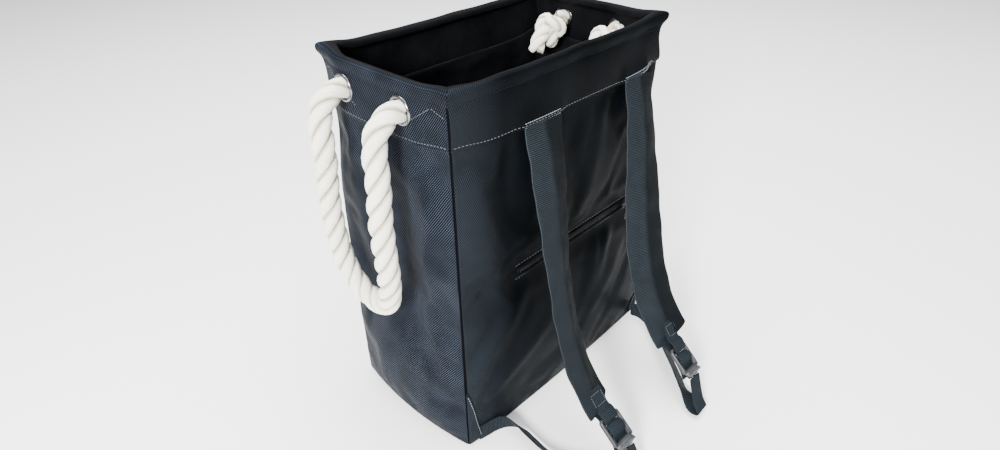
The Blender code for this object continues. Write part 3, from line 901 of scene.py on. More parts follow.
# ---- the band -----------------------------------------------------------------------------------
# The band's section, from its lower outer edge over the rolled hem and down inside: each point is
# (in from the wall's outer face, height above the band's bottom), metres.
BAND_SECTION = [
    (0.0004, -0.0005), (-0.0009, 0.0010), (-0.0012, 0.0060), (-0.0011, 0.0180), (-0.0010, 0.0330),
    (-0.0008, 0.0435), (-0.0003, 0.0472), (-0.0012, 0.0496), (-0.0016, 0.0535), (-0.0014, 0.0575),
    (0.0002, 0.0598), (0.0035, 0.0605), (0.0072, 0.0602), (0.0098, 0.0586), (0.0108, 0.0555),
    (0.0103, 0.0520), (0.0080, 0.0500), (0.0050, 0.0492), (0.0032, 0.0470), (0.0028, 0.0420),
    (0.0028, 0.0200), (0.0028, 0.0000),
]
LINED_FROM = 11                      # rows of the section from here on are lining
HEM_FROM = 6
CORNER_POINT = 0.0042                # how far the rim wire pushes the hem's corners out
LIP = 0.0034                         # how far the band's lower edge rises over a strap's end


def band_ring(inset, height):
    ring, _ = perimeter(X_OUT, Y_OUT, 0.006, SEAM_SIDE)
    scale = np.array([(X_OUT - inset) / X_OUT, (Y_OUT - inset) / Y_OUT])
    points = ring * scale
    from_corner = np.hypot(X_OUT - np.abs(ring[:, 0]), Y_OUT - np.abs(ring[:, 1]))
    diagonal = np.sign(ring) / math.sqrt(2)
    hem = float(smoothstep(height, 0.038, 0.052))
    push = np.exp(-(from_corner / 0.013) ** 2) * hem
    points = points + diagonal * (CORNER_POINT * push * (1.0 - 1.5 * inset / 0.0108))[:, None]
    points[:, 0] += end_pull(ring[:, 0], ring[:, 1], height)
    z = BAND_BOTTOM + height + 0.0046 * np.exp(-(from_corner / 0.026) ** 2) * hem
    z += band_sag(ring[:, 0], ring[:, 1]) * (1.0 - float(smoothstep(height, 0.002, 0.040)))
    if inset < 0.002 and height < 0.048:
        points = points - diagonal * (SEAM_DEPTH * (from_corner < 1e-6))[:, None]
    long_way = 1.0 - (ring[:, 0] / X_OUT) ** 2
    on_front = ring[:, 1] < -Y_OUT + 1e-4
    on_back = ring[:, 1] > Y_OUT - 1e-4
    wave = 0.0011 * np.sin(ring[:, 0] * 46 + 0.8) + 0.0007 * np.sin(ring[:, 0] * 95)
    points[:, 1] += (on_front * (0.0016 + wave) - on_back * (0.0016 - wave)) * long_way * hem
    z -= (on_front | on_back) * 0.0012 * long_way * hem
    body = math.sin(math.pi * min(1.0, height / 0.047)) if inset < 0.002 else 0.0
    crease = 0.0011 * np.sin(ring[:, 0] * 60 + ring[:, 1] * 80) * long_way
    points[:, 1] -= on_front * (0.0010 + crease) * body
    if inset < 0.002:
        lift = LIP * (1.0 - float(smoothstep(height, 0.004, 0.017)))
        for side in SIDES:
            reach = np.abs(ring[:, 0] - STRAP_HINGE[side][0]) - STRAP_WIDTH / 2
            points[:, 1] -= on_front * lift * (1.0 - smoothstep(reach, 0.000, 0.008))
    return np.column_stack([points, z])


STRAP_HINGE = {side: np.array(JOINTS[f"{side}_strap_swing"]["pos_m"]) for side in SIDES}


def make_band():
    rings = np.array([band_ring(*point) for point in BAND_SECTION + BAND_SECTION[:1]])
    band = lattice("top_band", rings, caps=False)
    per_row = rings.shape[1]
    counts = perimeter(X_OUT, Y_OUT, 0.006, SEAM_SIDE)[1]
    # the band's front takes the twill's copy darkened with painted shade, its corner seams painted
    # shade
    dress(band, BAND_TWILL, LINING, SHADED_FRONT_TWILL, SEAM_SHADE)
    for index, polygon in enumerate(band.data.polygons):
        row = index // per_row
        part = {0: 0, 2: 2, 4: 3}[wall_material(index % per_row, counts)]
        if row >= LINED_FROM:
            part = 1
        # from the hem up the corner seams lose their painted shade
        elif row >= HEM_FROM and part == 3:
            part = 0
        polygon.material_index = part
    subdivide(band)
    return band


band = make_band()
BAND_TREE = surface_tree(band)
riding(band, "bag", "bag_fabric", "front_band", "back_band", "left_band", "right_band")


RIM_WIRE_RADIUS = 0.0020


def make_rim_wire():
    """The spring wire inside the hem, a closed run that follows the hem round."""
    ring = band_ring(0.0047, 0.0550)[::4]
    run = catmull_rom(np.vstack([ring, ring[:1]]), 2)[:-1]
    ahead = np.roll(run, -1, axis=0) - np.roll(run, 1, axis=0)
    across = np.cross(ahead, (0, 0, 1))
    across /= np.linalg.norm(across, axis=1)[:, None]
    rings = [run + RIM_WIRE_RADIUS * (math.cos(a) * across + math.sin(a) * np.array([0, 0, 1]))
             for a in np.linspace(0, 2 * math.pi, 10, endpoint=False)]
    wire = lattice("rim_wire_run", rings + rings[:1], caps=False)
    riding(dress(outward(wire), STEEL), "bag", "steel_wire", "rim_wire")


make_rim_wire()


# ---- base and pocket ----------------------------------------------------------------------------
def slab(name, low, high, rounding, material):
    """A flat board with rounded edges between two corners."""
    low = np.array(low)
    high = np.array(high)
    bm = bmesh.new()
    bmesh.ops.create_cube(bm, size=1.0)
    bmesh.ops.scale(bm, vec=tuple(high - low), verts=bm.verts)
    bmesh.ops.translate(bm, vec=tuple((high + low) / 2), verts=bm.verts)
    bmesh.ops.bevel(bm, geom=list(bm.edges), offset=rounding, segments=3, affect="EDGES",
                    profile=0.5)
    mesh = bpy.data.meshes.new(name)
    bm.to_mesh(mesh)
    bm.free()
    mesh.shade_smooth()
    mesh.set_sharp_from_angle(angle=math.radians(40))
    return metres_uv(dress(new_object(name, mesh), material))


def from_node(name, node, rounding, material, inset=0.0):
    low, high = box_of(node)
    edge = np.array([inset, inset, 0.0])
    return slab(name, low + edge, high - edge, rounding, material)


riding(from_node("base_cloth", "base_panel", 0.0012, TWILL, 0.0055), "base", "bag_fabric",
       "base_panel")
riding(from_node("base_stiffener", "base_board", 0.0010, LINING, 0.0060), "base", "board",
       "base_board")
sewn_to_walls(from_node("pocket_bag", "pocket_pouch", 0.0009, LINING), "lining", "pocket_pouch")


TAB_START = 0.0012                   # from the corner seam to the tab, metres
TAB_SHARE = 0.72                     # the sewn tab's width as a share of its plan's


def make_corner_tab(side):
    """A triangle of cloth over the front's bottom corner, lying on the wall's own surface."""
    low, high = box_of(f"{side}_corner_tab")
    outer = low[0] if SIDES[side] < 0 else high[0]
    reach = (high[0] - low[0]) * -SIDES[side] * TAB_SHARE
    rings = []
    for z in np.linspace(low[2], high[2], 16):
        width = reach * (1.0 - (z - low[2]) / (high[2] - low[2])) + 0.0012 * np.sign(reach)
        xs = outer + TAB_START * np.sign(reach) + width * np.linspace(0.0, 1.0, 7)
        hits, _ = trace(WALL_TREE, [(x, -0.3, max(z, 0.006)) for x in xs], (0, 1, 0))
        front = np.column_stack([xs, np.minimum(hits[:, 1] - 0.0015, -Y_OUT + 0.0004),
                                 np.full(7, z)])
        rear = front[::-1] + np.array([0, 0.0016, 0])
        rings.append(np.vstack([front, rear]))
    tab = outward(lattice(f"{side}_tab_cloth", rings))
    # the tab takes the twill's copy darkened with painted shade
    dress(tab, SHADED_FRONT_TWILL)
    riding(tab, "base", "bag_fabric", f"{side}_corner_tab")
    tree = surface_tree(tab)
    line = np.linspace((outer + 0.0022 * np.sign(reach), high[2] - 0.006),
                       (outer + reach, low[2] + 0.001), 80)
    points, normals = trace(tree, [(x, -0.3, z) for x, z in line], (0, 1, 0))
    row = stitches(f"{side}_tab_stitches", points, normals, 0.0030, 0.0014, 0.0004,
                   PALE_THREAD if side == "left" else THREAD)
    riding(row, "base", "bag_fabric")
    for piece in (tab, row):
        folding(piece)


for side in SIDES:
    make_corner_tab(side)


# ---- ropes and grommets -------------------------------------------------------------------------
ROPE_RADIUS = 0.0128
NECK_RADIUS = 0.0117
LOOP_DRIFT = 0.0060                  # a loop's bottom hangs this far towards the back
EYELET_DROP = 0.0030                 # the eyelets hang this far under their plan's height
ROPE_LAY = 0.070                     # one full turn of a strand
# Half of a handle, from inside the band out through a grommet to the bottom of its loop: each
# point is (out from the wall, along the end from its middle, height).
ROPE_PATH = [
    (-0.0130, 0.045, 0.4350), (0.0000, 0.045, 0.4368), (0.0110, 0.045, 0.4362),
    (0.0210, 0.045, 0.4330), (0.0285, 0.045, 0.4260), (0.0340, 0.045, 0.4155),
    (0.0380, 0.045, 0.4000), (0.0420, 0.0455, 0.3700), (0.0450, 0.046, 0.3370),
    (0.0460, 0.0465, 0.3040), (0.0440, 0.046, 0.2710), (0.0400, 0.042, 0.2385),
    (0.0360, 0.033, 0.2150), (0.0335, 0.018, 0.2010), (0.0325, 0.000, 0.1970),
]


def rope_mesh(name, path, radius, lay, turn=0.0, sides=22, spacing=0.0018, first=(0, 0, 1)):
    """Three strands laid round a path, right-handed. radius is one number or one at each of the
    path's points."""
    radius = np.broadcast_to(radius, len(path))
    fine = evenly(np.column_stack([path, radius]), spacing)
    centre, thick = fine[:, :3], fine[:, 3]
    s = distances(centre)
    normal, binormal = turning_frames(centre, first)
    strands = []
    for k in range(3):
        angle = 2 * math.pi * (s / lay + k / 3) + turn
        out = normal * np.cos(angle)[:, None] + binormal * np.sin(angle)[:, None]
        line = centre + out * (0.53 * thick)[:, None]
        along = tangents(line)
        out = out - along * np.sum(out * along, axis=1)[:, None]
        out = out / np.linalg.norm(out, axis=1)[:, None]
        aside = np.cross(along, out)
        rings = []
        for corner in range(sides):
            t = 2 * math.pi * corner / sides
            yarn = 1.0 + 0.030 * np.cos(8 * t - 2 * math.pi * s / 0.055)
            soft = 1.0 + 0.020 * np.sin(s * 190 + 2 * k) + 0.014 * np.sin(s * 415 + k)
            reach = (0.470 * thick * yarn * soft)[:, None]
            rings.append(line + out * math.cos(t) * reach * 0.98
                         + aside * math.sin(t) * reach * 1.16)
        strands.append(lattice(f"{name}_{k}", np.swapaxes(np.array(rings), 0, 1)))
    rope = join([outward(strand) for strand in strands], name)
    return dress(rope, COTTON), centre


def end_place(side, out, y, z):
    return (SIDES[side] * (X_OUT + out), y, z)


def eyelet_shift(y):
    """How far towards the back the eyelets of an end sit, the back one more."""
    return 0.0090 + y / 30


def eyelet_pull(side, y):
    """How far the band's end is drawn in at its eyelets' height."""
    return end_pull(np.full_like(y, SIDES[side] * X_OUT, dtype=float), y, GROMMET_Z - BAND_BOTTOM)


def eyelet_place(side, way, out=0.0, rise=0.0):
    y = way * HANDLE_SPREAD
    y += eyelet_shift(y)
    place = np.array(end_place(side, out, y, GROMMET_Z - EYELET_DROP + rise))
    place[0] += float(eyelet_pull(side, np.array([y]))[0])
    return place


def make_handle(side):
    half = [end_place(side, *p) for p in ROPE_PATH]
    rest = [(x, -y, z) for x, y, z in reversed(half[:-1])]
    path = catmull_rom(half + rest, 8)
    path[:, 1] += eyelet_shift(path[:, 1]) * smoothstep(path[:, 2], 0.365, 0.428)
    path[:, 1] += LOOP_DRIFT * (1.0 - smoothstep(path[:, 2], 0.215, 0.290))
    path[:, 0] += eyelet_pull(side, path[:, 1]) * smoothstep(path[:, 2], 0.330, 0.425)
    path[:, 2] -= EYELET_DROP * smoothstep(path[:, 2], 0.400, 0.430)
    s = distances(path)
    near_end = np.minimum(s, s[-1] - s)
    radius = NECK_RADIUS + (ROPE_RADIUS - NECK_RADIUS) * smoothstep(near_end, 0.016, 0.034)
    rope, centre = rope_mesh(f"{side}_handle_rope", path, radius, ROPE_LAY,
                             turn=0.6 if side == "left" else 2.0)
    nodes = [f"{side}_rope_handle", f"{side}_front_rope_end", f"{side}_back_rope_end"]
    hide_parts(*nodes)
    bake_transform(rope)
    knots = [make_knot(side, name, y) for name, y in (("back", 1), ("front", -1))]
    return rope


KNOT_SCALE = 0.0058
KNOT_INSIDE = 0.029                  # the knot's middle, in from the wall's outer face


def make_knot(side, name, way):
    """A stopper knot: an overhand knot pulled tight on the rope's end, with a short fringe."""
    t = np.linspace(0.0, 2 * math.pi, 60)[:-1]
    loop = np.column_stack([-np.sin(3 * t) * 0.9, np.sin(t) + 2 * np.sin(2 * t),
                            np.cos(t) - 2 * np.cos(2 * t)]) * KNOT_SCALE
    middle = eyelet_place(side, way, -KNOT_INSIDE, -0.012)
    loop = np.vstack([loop, loop[:1]]) * 0.92 + middle
    body, _ = rope_mesh(f"{side}_{name}_knot_turns", loop, 0.0094, 0.045, sides=14, spacing=0.003)
    inward = -SIDES[side]
    tail_path = [middle + np.array([inward * x, 0.0, z]) for x, z in
                 ((0.000, 0.0), (0.010, 0.000), (0.018, -0.004), (0.026, -0.012), (0.030, -0.022))]
    tail, _ = rope_mesh(f"{side}_{name}_knot_tail", catmull_rom(tail_path, 6),
                        np.linspace(0.0100, 0.0112, 25), 0.055, sides=14, spacing=0.003)
    knot = dress(join([body, tail], f"{side}_{name}_stopper_knot"), KNOT_COTTON)
    return riding(knot, "bag", "rope")


def revolved(name, profile, material, segments=56):
    """A ring turned about X from (along, radius) points, closed on itself."""
    profile = np.array(profile + profile[:1])
    angles = np.linspace(0, 2 * math.pi, segments, endpoint=False)
    rings = [np.column_stack([np.full(segments, along), r * np.cos(angles), r * np.sin(angles)])
             for along, r in profile]
    ring = lattice(name, rings, caps=False)
    dress(outward(ring), material)
    subdivide(ring)
    return ring


GROMMET_SECTION = [
    (-0.0020, 0.0116), (0.0010, 0.0116), (0.0022, 0.0119), (0.0029, 0.0127), (0.0031, 0.0138),
    (0.0027, 0.0149), (0.0016, 0.0156), (0.0004, 0.0158), (0.0004, 0.0150), (0.0006, 0.0134),
    (-0.0020, 0.0122),
]
WASHER_SECTION = [
    (-0.0024, 0.0115), (-0.0036, 0.0117), (-0.0044, 0.0127), (-0.0042, 0.0143),
    (-0.0034, 0.0158), (-0.0028, 0.0162), (-0.0025, 0.0152),
]


def make_eyelet(side, name, way):
    for kind, section in (("grommet", GROMMET_SECTION), ("washer", WASHER_SECTION)):
        ring = revolved(f"{side}_{name}_{kind}_ring",
                        [(SIDES[side] * along, r) for along, r in section], NICKEL)
        ring.location = eyelet_place(side, way)
        riding(ring, "bag", "nickel", f"{side}_{name}_{kind}")


for side in SIDES:
    make_handle(side)
    for name, way in (("back", 1), ("front", -1)):
        make_eyelet(side, name, way)


# ---- straps -------------------------------------------------------------------------------------
STRAP_PATH = [
    (-0.0001, 0.0055), (-0.0008, -0.004), (-0.010, -0.035), (-0.022, -0.090), (-0.036, -0.160),
    (-0.052, -0.225), (-0.074, -0.280), (-0.098, -0.315), (-0.112, -0.330),
]
LOCK_PIVOT = (-0.1240, -0.3366)
LOCK_ANGLE = math.radians(40)
LOCK_LENGTH = 0.036
LOCK_WIDTH = 0.034
LOCK_BAR = 0.004
LOCK_SLOT_WIDTH = 0.0226
STRAP_DRIFT = {"left": 0.0, "right": 0.0090}     # how far its lower end hangs towards +X
WEB_DRIFT = {"left": 0.0, "right": -0.0140}      # and the lower webbing's fold from there
STRAP_TWIST = {"left": math.radians(15), "right": math.radians(-20)}


def from_hinge(side, points):
    """Points (across, y, z) measured from a strap's hinge, leaned with the strap."""
    cos_a = math.cos(STRAP_LEAN[side])
    sin_a = math.sin(STRAP_LEAN[side])
    p = np.asarray(points, float)
    x, y, z = p[..., 0], p[..., 1], p[..., 2]
    return np.stack([x * cos_a + z * sin_a, y, z * cos_a - x * sin_a], -1) + STRAP_HINGE[side]


def along_lock(distance, rise=0.0):
    """A point (y, z) along the ladder-lock from its pivot, with a rise off its front face."""
    cos_a = math.cos(LOCK_ANGLE)
    sin_a = math.sin(LOCK_ANGLE)
    return (LOCK_PIVOT[0] - distance * cos_a - rise * sin_a,
            LOCK_PIVOT[1] - distance * sin_a + rise * cos_a)


def tape_rings(path, across, normal, width, thickness, shape=None, count=11):
    """Closed sections of a flat tape along a path. shape(u, share) lifts the section's point at
    u, -1 to 1 across it."""
    s = distances(path)
    s = s / s[-1]
    u = np.linspace(-1.0, 1.0, count)
    edge = 1.0 - 0.55 * np.abs(u) ** 10
    width = np.broadcast_to(width, len(path))
    rings = []
    for k in range(len(path)):
        lift = shape(u, s[k]) if shape else np.zeros(count)
        line = path[k] + across[k] * (u * width[k] / 2)[:, None]
        top = line + normal[k] * (lift + thickness / 2 * edge)[:, None]
        under = line + normal[k] * (lift - thickness / 2 * edge)[:, None]
        rings.append(np.vstack([top, under[::-1]]))
    return np.array(rings)


def planar_tape(points, spacing):
    """A route in the plane (y, z) with its across direction along x, and its front direction."""
    route = evenly(catmull_rom(points, 10), spacing)
    path = np.column_stack([np.zeros(len(route)), route])
    along = tangents(path)
    across = np.tile([1.0, 0.0, 0.0], (len(path), 1))
    normal = np.cross(along, across)
    return path, across, normal


def strap_shape(u, share):
    """How far the strap's section stands up at u across it: a crease past its middle, with
    ripples along the strap."""
    crease = 0.08
    peak = 0.0030
    grow = float(smoothstep(share, 0.01, 0.10)) * (1.0 - 0.5 * float(smoothstep(share, 0.85, 1.0)))
    left = -0.0018 + (peak + 0.0018) * (u + 1) / (1 + crease)
    right = peak - (peak + 0.0040) * np.clip((u - crease) / (1 - crease), 0.0, None) ** 1.3
    ripple = 0.0006 * np.sin(share * 31 + u * 2) + 0.0005 * np.sin(share * 57 + 1.0)
    return (np.where(u < crease, left, right) + ripple) * grow


def make_strap(side):
    path, across, normal = planar_tape(STRAP_PATH, 0.005)
    s = distances(path)
    twist = STRAP_TWIST[side] * smoothstep(s, 0.02, 0.22)
    c = np.cos(twist)[:, None]
    w = np.sin(twist)[:, None]
    across, normal = across * c - normal * w, normal * c + across * w
    rings = tape_rings(path, across, normal, STRAP_WIDTH, 0.0026, strap_shape, 25)
    skew = 0.0060 * smoothstep(s, s[-1] - 0.045, s[-1])
    along = tangents(path)
    count = rings.shape[1] // 2
    u = np.linspace(-1.0, 1.0, count)
    u = np.concatenate([u, u[::-1]])
    rings = rings - along[:, None, :] * (u[None, :] * skew[:, None])[..., None]
    rings[..., 0] += (STRAP_DRIFT[side] * s / s[-1])[:, None]
    strap = outward(lattice(f"{side}_strap_webbing", from_hinge(side, rings)))
    dress(strap, STRAP_WEB)
    subdivide(strap)
    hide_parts(f"{side}_shoulder_strap")
    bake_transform(strap)
    return strap


def make_tape(name, side, points, body, node, spacing=0.0022, drift=(0.0, 0.0)):
    """A narrow webbing along a route (y, z) from a strap's hinge. drift is how far its two ends
    hang aside."""
    path, across, normal = planar_tape(points, spacing)
    path[:, 0] += np.linspace(*drift, len(path))
    rings = tape_rings(path, across, normal, WEBBING, 0.0018)
    tape = dress(outward(lattice(name, from_hinge(side, rings))), NARROW_WEB)
    riding(subdivide(tape), body, "narrow_webbing", node)


def rounded_loop(width, length, centre, radius, steps=5):
    """A rounded rectangle's outline, lying in the lock's own plane."""
    out = []
    for cx, cy, start in ((1, 1, 0), (-1, 1, 90), (-1, -1, 180), (1, -1, 270)):
        for k in range(steps + 1):
            angle = math.radians(start + 90 * k / steps)
            out.append((cx * (width / 2 - radius) + radius * math.cos(angle),
                        centre + cy * (length / 2 - radius) + radius * math.sin(angle)))
    return out


def plate(name, outline, holes, thickness, rounding):
    """A moulded plate with holes through it and rounded edges."""
    curve = bpy.data.curves.new(name, "CURVE")
    curve.dimensions = "2D"
    curve.fill_mode = "BOTH"
    curve.extrude = thickness / 2 - rounding
    curve.bevel_depth = rounding
    curve.bevel_resolution = 2
    curve.offset = -rounding
    for loop in [outline, *holes]:
        spline = curve.splines.new("POLY")
        spline.points.add(len(loop) - 1)
        for point, (x, y) in zip(spline.points, loop):
            point.co = (x, y, 0.0, 1.0)
        spline.use_cyclic_u = True
    source = bpy.data.objects.new(name + "_outline", curve)
    bpy.context.scene.collection.objects.link(source)
    mesh = bpy.data.meshes.new_from_object(
        source.evaluated_get(bpy.context.evaluated_depsgraph_get()))
    bpy.data.objects.remove(source)
    obj = new_object(name, mesh)
    mesh.shade_smooth()
    mesh.set_sharp_from_angle(angle=math.radians(50))
    return obj


def rod(name, start, end, radius, sides=14):
    """A round bar with domed ends."""
    start = np.array(start, float)
    end = np.array(end, float)
    share = np.array([0.0, 0.02, 0.06, 0.15, 0.85, 0.94, 0.98, 1.0])
    thick = radius * np.array([0.35, 0.75, 0.95, 1.0, 1.0, 0.95, 0.75, 0.35])
    path = start + (end - start) * share[:, None]
    along = (end - start) / np.linalg.norm(end - start)
    first = np.cross(along, (0.0, 0.0, 1.0))
    if np.linalg.norm(first) < 0.1:
        first = np.cross(along, (0.0, 1.0, 0.0))
    first = first / np.linalg.norm(first)
    second = np.cross(along, first)
    angles = np.linspace(0, 2 * math.pi, sides, endpoint=False)
    rings = [p + r * (np.cos(angles)[:, None] * first + np.sin(angles)[:, None] * second)
             for p, r in zip(path, thick)]
    return outward(lattice(name, rings))


def make_lock(side):
    """A ladder-lock: a moulded frame with two slots, round bars and a curved thumb tab."""
    slot = (LOCK_LENGTH - 3 * LOCK_BAR) / 2
    middle = -LOCK_LENGTH / 2 + LOCK_BAR / 2
    frame_plate = plate("frame", rounded_loop(LOCK_WIDTH, LOCK_LENGTH, middle, 0.0042),
                        [rounded_loop(LOCK_SLOT_WIDTH, slot, -LOCK_BAR / 2 - slot / 2
                                      - index * (slot + LOCK_BAR), 0.0012) for index in range(2)],
                        0.0040, 0.0010)
    half = LOCK_WIDTH / 2 - 0.0015
    thumb = []
    parts = [frame_plate,
             rod("top_bar", (-half, 0.0004, 0.0002), (half, 0.0004, 0.0002), 0.0026),
             rod("middle_bar", (-half, -0.016, 0.0006), (half, -0.016, 0.0006), 0.0024),
             rod("left_rail", (-0.0152, 0.001, 0.0012), (-0.0152, -0.033, 0.0020), 0.0021),
             rod("right_rail", (0.0152, 0.001, 0.0012), (0.0152, -0.033, 0.0020), 0.0021)]
    tab_path = np.array([(0, -0.0305, 0.0002), (0, -0.0335, 0.0010), (0, -0.0362, 0.0026),
                         (0, -0.0382, 0.0048)])
    tab_path = evenly(catmull_rom(tab_path, 6), 0.0009)
    across = np.tile([1.0, 0.0, 0.0], (len(tab_path), 1))
    normal = np.cross(tangents(tab_path), across)
    tab_rings = tape_rings(tab_path, across, normal, 0.0300, 0.0030)
    thumb.append(outward(lattice("thumb_tab", tab_rings)))
    for k in range(3):
        y = -0.0322 - 0.0018 * k
        z = 0.0026 + 0.0013 * k
        thumb.append(rod(f"grip_{k}", (-0.0115, y, z), (0.0115, y, z), 0.0006, 8))
    for part in parts:
        dress(part, PLASTIC)
    for part in thumb:
        dress(part, THUMB_PLASTIC)
    lock = join(parts + thumb, f"{side}_lock_frame")
    x, y, z = points_of(lock).T
    cos_a = math.cos(LOCK_ANGLE)
    sin_a = math.sin(LOCK_ANGLE)
    turned = np.column_stack([x, LOCK_PIVOT[0] + y * cos_a - z * sin_a,
                              LOCK_PIVOT[1] + y * sin_a + z * cos_a])
    move_points(lock, from_hinge(side, turned))
    return riding(metres_uv(lock), f"{side}_lock", "lock_plastic", f"{side}_ladder_lock")


def strap_end(back, lift):
    """A point (y, z) on the strap's front face, this far back from its lower end."""
    end = np.array(STRAP_PATH[-1])
    along = end - np.array(STRAP_PATH[-2])
    along = along / np.linalg.norm(along)
    front = np.array([along[1], -along[0]])
    return tuple(end - along * back + front * lift)


LOWER_FRONT_PATH = [
    along_lock(0.0420, 0.0), (-0.1640, -0.3760), (-0.1730, -0.3890), (-0.1830, -0.3965),
]
LOWER_FLOOR_PATH = {
    "left": [(-0.1580, -0.1095), (-0.1420, -0.1130), (-0.1310, -0.1215), (-0.1265, -0.1380),
             (-0.1290, -0.1600), (-0.1310, -0.1850), (-0.1240, -0.2120), (-0.1050, -0.2400),
             (-0.0850, -0.2640)],
    "right": [(0.1620, -0.1095), (0.1640, -0.1260), (0.1530, -0.1540), (0.1363, -0.1791),
              (0.1135, -0.2065), (0.0921, -0.2322), (0.0760, -0.2500), (0.0680, -0.2620)],
}


def make_fittings(side):
    carrier = [strap_end(0.024, 0.0030), strap_end(0.012, 0.0032), strap_end(0.000, 0.0030),
               along_lock(-0.0080, 0.0034), along_lock(-0.0020, 0.0042),
               along_lock(0.0034, 0.0036), along_lock(0.0058, 0.0002),
               along_lock(0.0032, -0.0036), along_lock(-0.0030, -0.0040),
               strap_end(-0.004, -0.0032), strap_end(0.006, -0.0030)]
    make_tape(f"{side}_carrier_loop", side, carrier, f"{side}_strap",
              f"{side}_lock_carrier", 0.0014, (STRAP_DRIFT[side], -0.5 * STRAP_DRIFT[side]))
    tail = [along_lock(0.0420, 0.0), along_lock(0.0350, -0.0030), along_lock(0.0290, -0.0026),
            along_lock(0.0240, 0.0006), along_lock(0.0200, 0.0036), along_lock(0.0160, 0.0044),
            along_lock(0.0118, 0.0036), along_lock(0.0084, 0.0006), along_lock(0.0082, -0.0026),
            along_lock(0.0120, -0.0050), along_lock(0.0200, -0.0058), along_lock(0.0300, -0.0074),
            along_lock(0.0400, -0.0110)]
    make_tape(f"{side}_tail_webbing", side, tail, f"{side}_lock",
              f"{side}_webbing_tail", 0.0014)
    make_tape(f"{side}_front_webbing", side, LOWER_FRONT_PATH, f"{side}_strap",
              f"{side}_lower_webbing_front", drift=(0.0, WEB_DRIFT[side]))


FLOOR_LEAN = 0.72                    # how far the floor run leans over from standing on its edge


def make_floor_webbing(side):
    """The lower webbing's run along the floor: on its edge from the corner tab, laid over flat at
    the fold where the run up to the ladder-lock begins."""
    fold = from_hinge(side, (WEB_DRIFT[side], *LOWER_FRONT_PATH[-1]))
    plan = [np.array([x, y, WEBBING / 2 + 0.0008]) for x, y in LOWER_FLOOR_PATH[side]]
    if side == "left":
        plan.insert(0, np.array([-0.1700, -0.1066, WEBBING / 2 + 0.0008]))
    plan.append(np.array([fold[0], (plan[-1][1] + fold[1]) / 2 - 0.004, 0.0060]))
    plan.append(np.array([fold[0], fold[1] + 0.0004, fold[2] - 0.0006]))
    path = evenly(catmull_rom(plan, 10), 0.003)
    s = distances(path)
    along = tangents(path)
    up = np.array([0.0, 0.0, 1.0])
    level = np.cross(along, up)
    level = level / np.linalg.norm(level, axis=1)[:, None]
    side_up = np.cross(level, along)
    over = (math.pi / 2) * smoothstep(s, s[-1] - 0.050, s[-1] - 0.006)
    lean = FLOOR_LEAN * smoothstep(s, 0.026, 0.070)
    turn = lean + over * (1 - FLOOR_LEAN / (math.pi / 2))
    across = side_up * np.cos(turn)[:, None] + level * np.sin(turn)[:, None]
    normal = np.cross(along, across)
    path[:, 2] = np.maximum(path[:, 2], np.abs(across[:, 2]) * WEBBING / 2 + 0.0012)
    tape = outward(lattice(f"{side}_floor_webbing", tape_rings(path, across, normal, WEBBING,
                                                              0.0018)))
    dress(tape, NARROW_WEB)
    subdivide(tape)
    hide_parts(f"{side}_lower_webbing_floor")
    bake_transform(tape)
    return tape


for side in SIDES:
    make_strap(side)
    make_lock(side)
    make_fittings(side)
    make_floor_webbing(side)


# ---- the zip ------------------------------------------------------------------------------------
COIL_LOW, COIL_HIGH = box_of("zipper_coil")


def flattening(obj):
    """A piece of the zip's sewing, given its own copy of its mesh."""
    return folding(obj)


def make_zip():
    """Two tapes sewn under welts of the bag's cloth, and a coil of interlocked loops."""
    x0, x1 = TAPE_LOW[0], TAPE_HIGH[0]
    parts = []
    for way in (-1, 1):
        xs = np.linspace(x0, x1, 60)
        path = np.column_stack([xs, np.full(60, -Y_OUT + 0.0002),
                                np.full(60, ZIP_Z + way * 0.0032)])
        across = np.tile([0.0, 0.0, 1.0], (60, 1))
        normal = np.tile([0.0, -1.0, 0.0], (60, 1))
        parts.append(outward(lattice(f"tape_{way}", tape_rings(path, across, normal, 0.0058,
                                                              0.0008))))
    tapes = join(parts, "zip_tapes")
    dress(tapes, ZIP_TAPE)
    flattening(riding(tapes, "zipper", "zip_tape", "zipper_tape"))
    loops = []
    pitch = 0.0022
    turns = int((COIL_HIGH[0] - COIL_LOW[0]) / pitch)
    t = np.linspace(0, 2 * math.pi, 7)[:-1]
    for way in (-1, 1):
        steps = np.arange(turns * 8 + 1) / 8
        phase = 2 * math.pi * steps
        helix = np.column_stack([COIL_LOW[0] + pitch * (steps + 0.25 * (1 + way)),
                                 -Y_OUT - 0.0002 - 0.0009 * np.sin(phase),
                                 ZIP_Z + way * 0.0010 + 0.0014 * np.cos(phase)])
        first, second = turning_frames(helix, (0, 0, 1))
        rings = [p + 0.00042 * (np.cos(t)[:, None] * a + np.sin(t)[:, None] * b)
                 for p, a, b in zip(helix, first, second)]
        loops.append(outward(lattice(f"coil_{way}", rings)))
    coil = join(loops, "zip_coil")
    dress(coil, ZIP_METAL)
    flattening(riding(coil, "zipper", "zip_parts", "zipper_coil"))


def make_welt(name, centre, height, bulge):
    xs = np.linspace(TAPE_LOW[0] - 0.002, TAPE_HIGH[0] + 0.002, 64)
    t = np.linspace(0, math.pi, 9)
    rings = []
    for x in xs:
        share = (x - xs[0]) / (xs[-1] - xs[0])
        full = 1.0 - 0.75 * abs(2 * share - 1) ** 16
        swell = bulge * full * (1.0 + 0.14 * math.sin(x * 70) + 0.08 * math.sin(x * 151))
        front = [(x, -ZIP_WALL_Y - swell * math.sin(a) ** 0.6 if 0 < a < math.pi else -ZIP_WALL_Y,
                  centre + height / 2 * math.cos(a) * full) for a in t]
        rear = [(x, -ZIP_WALL_Y + 0.0006, p[2]) for p in reversed(front)]
        rings.append(front + rear)
    welt = outward(lattice(name, rings))
    # the welt takes the twill's copy darkened with painted shade
    dress(welt, SHADED_FRONT_TWILL)
    subdivide(welt)
    return flattening(riding(welt, "zipper", "bag_fabric"))


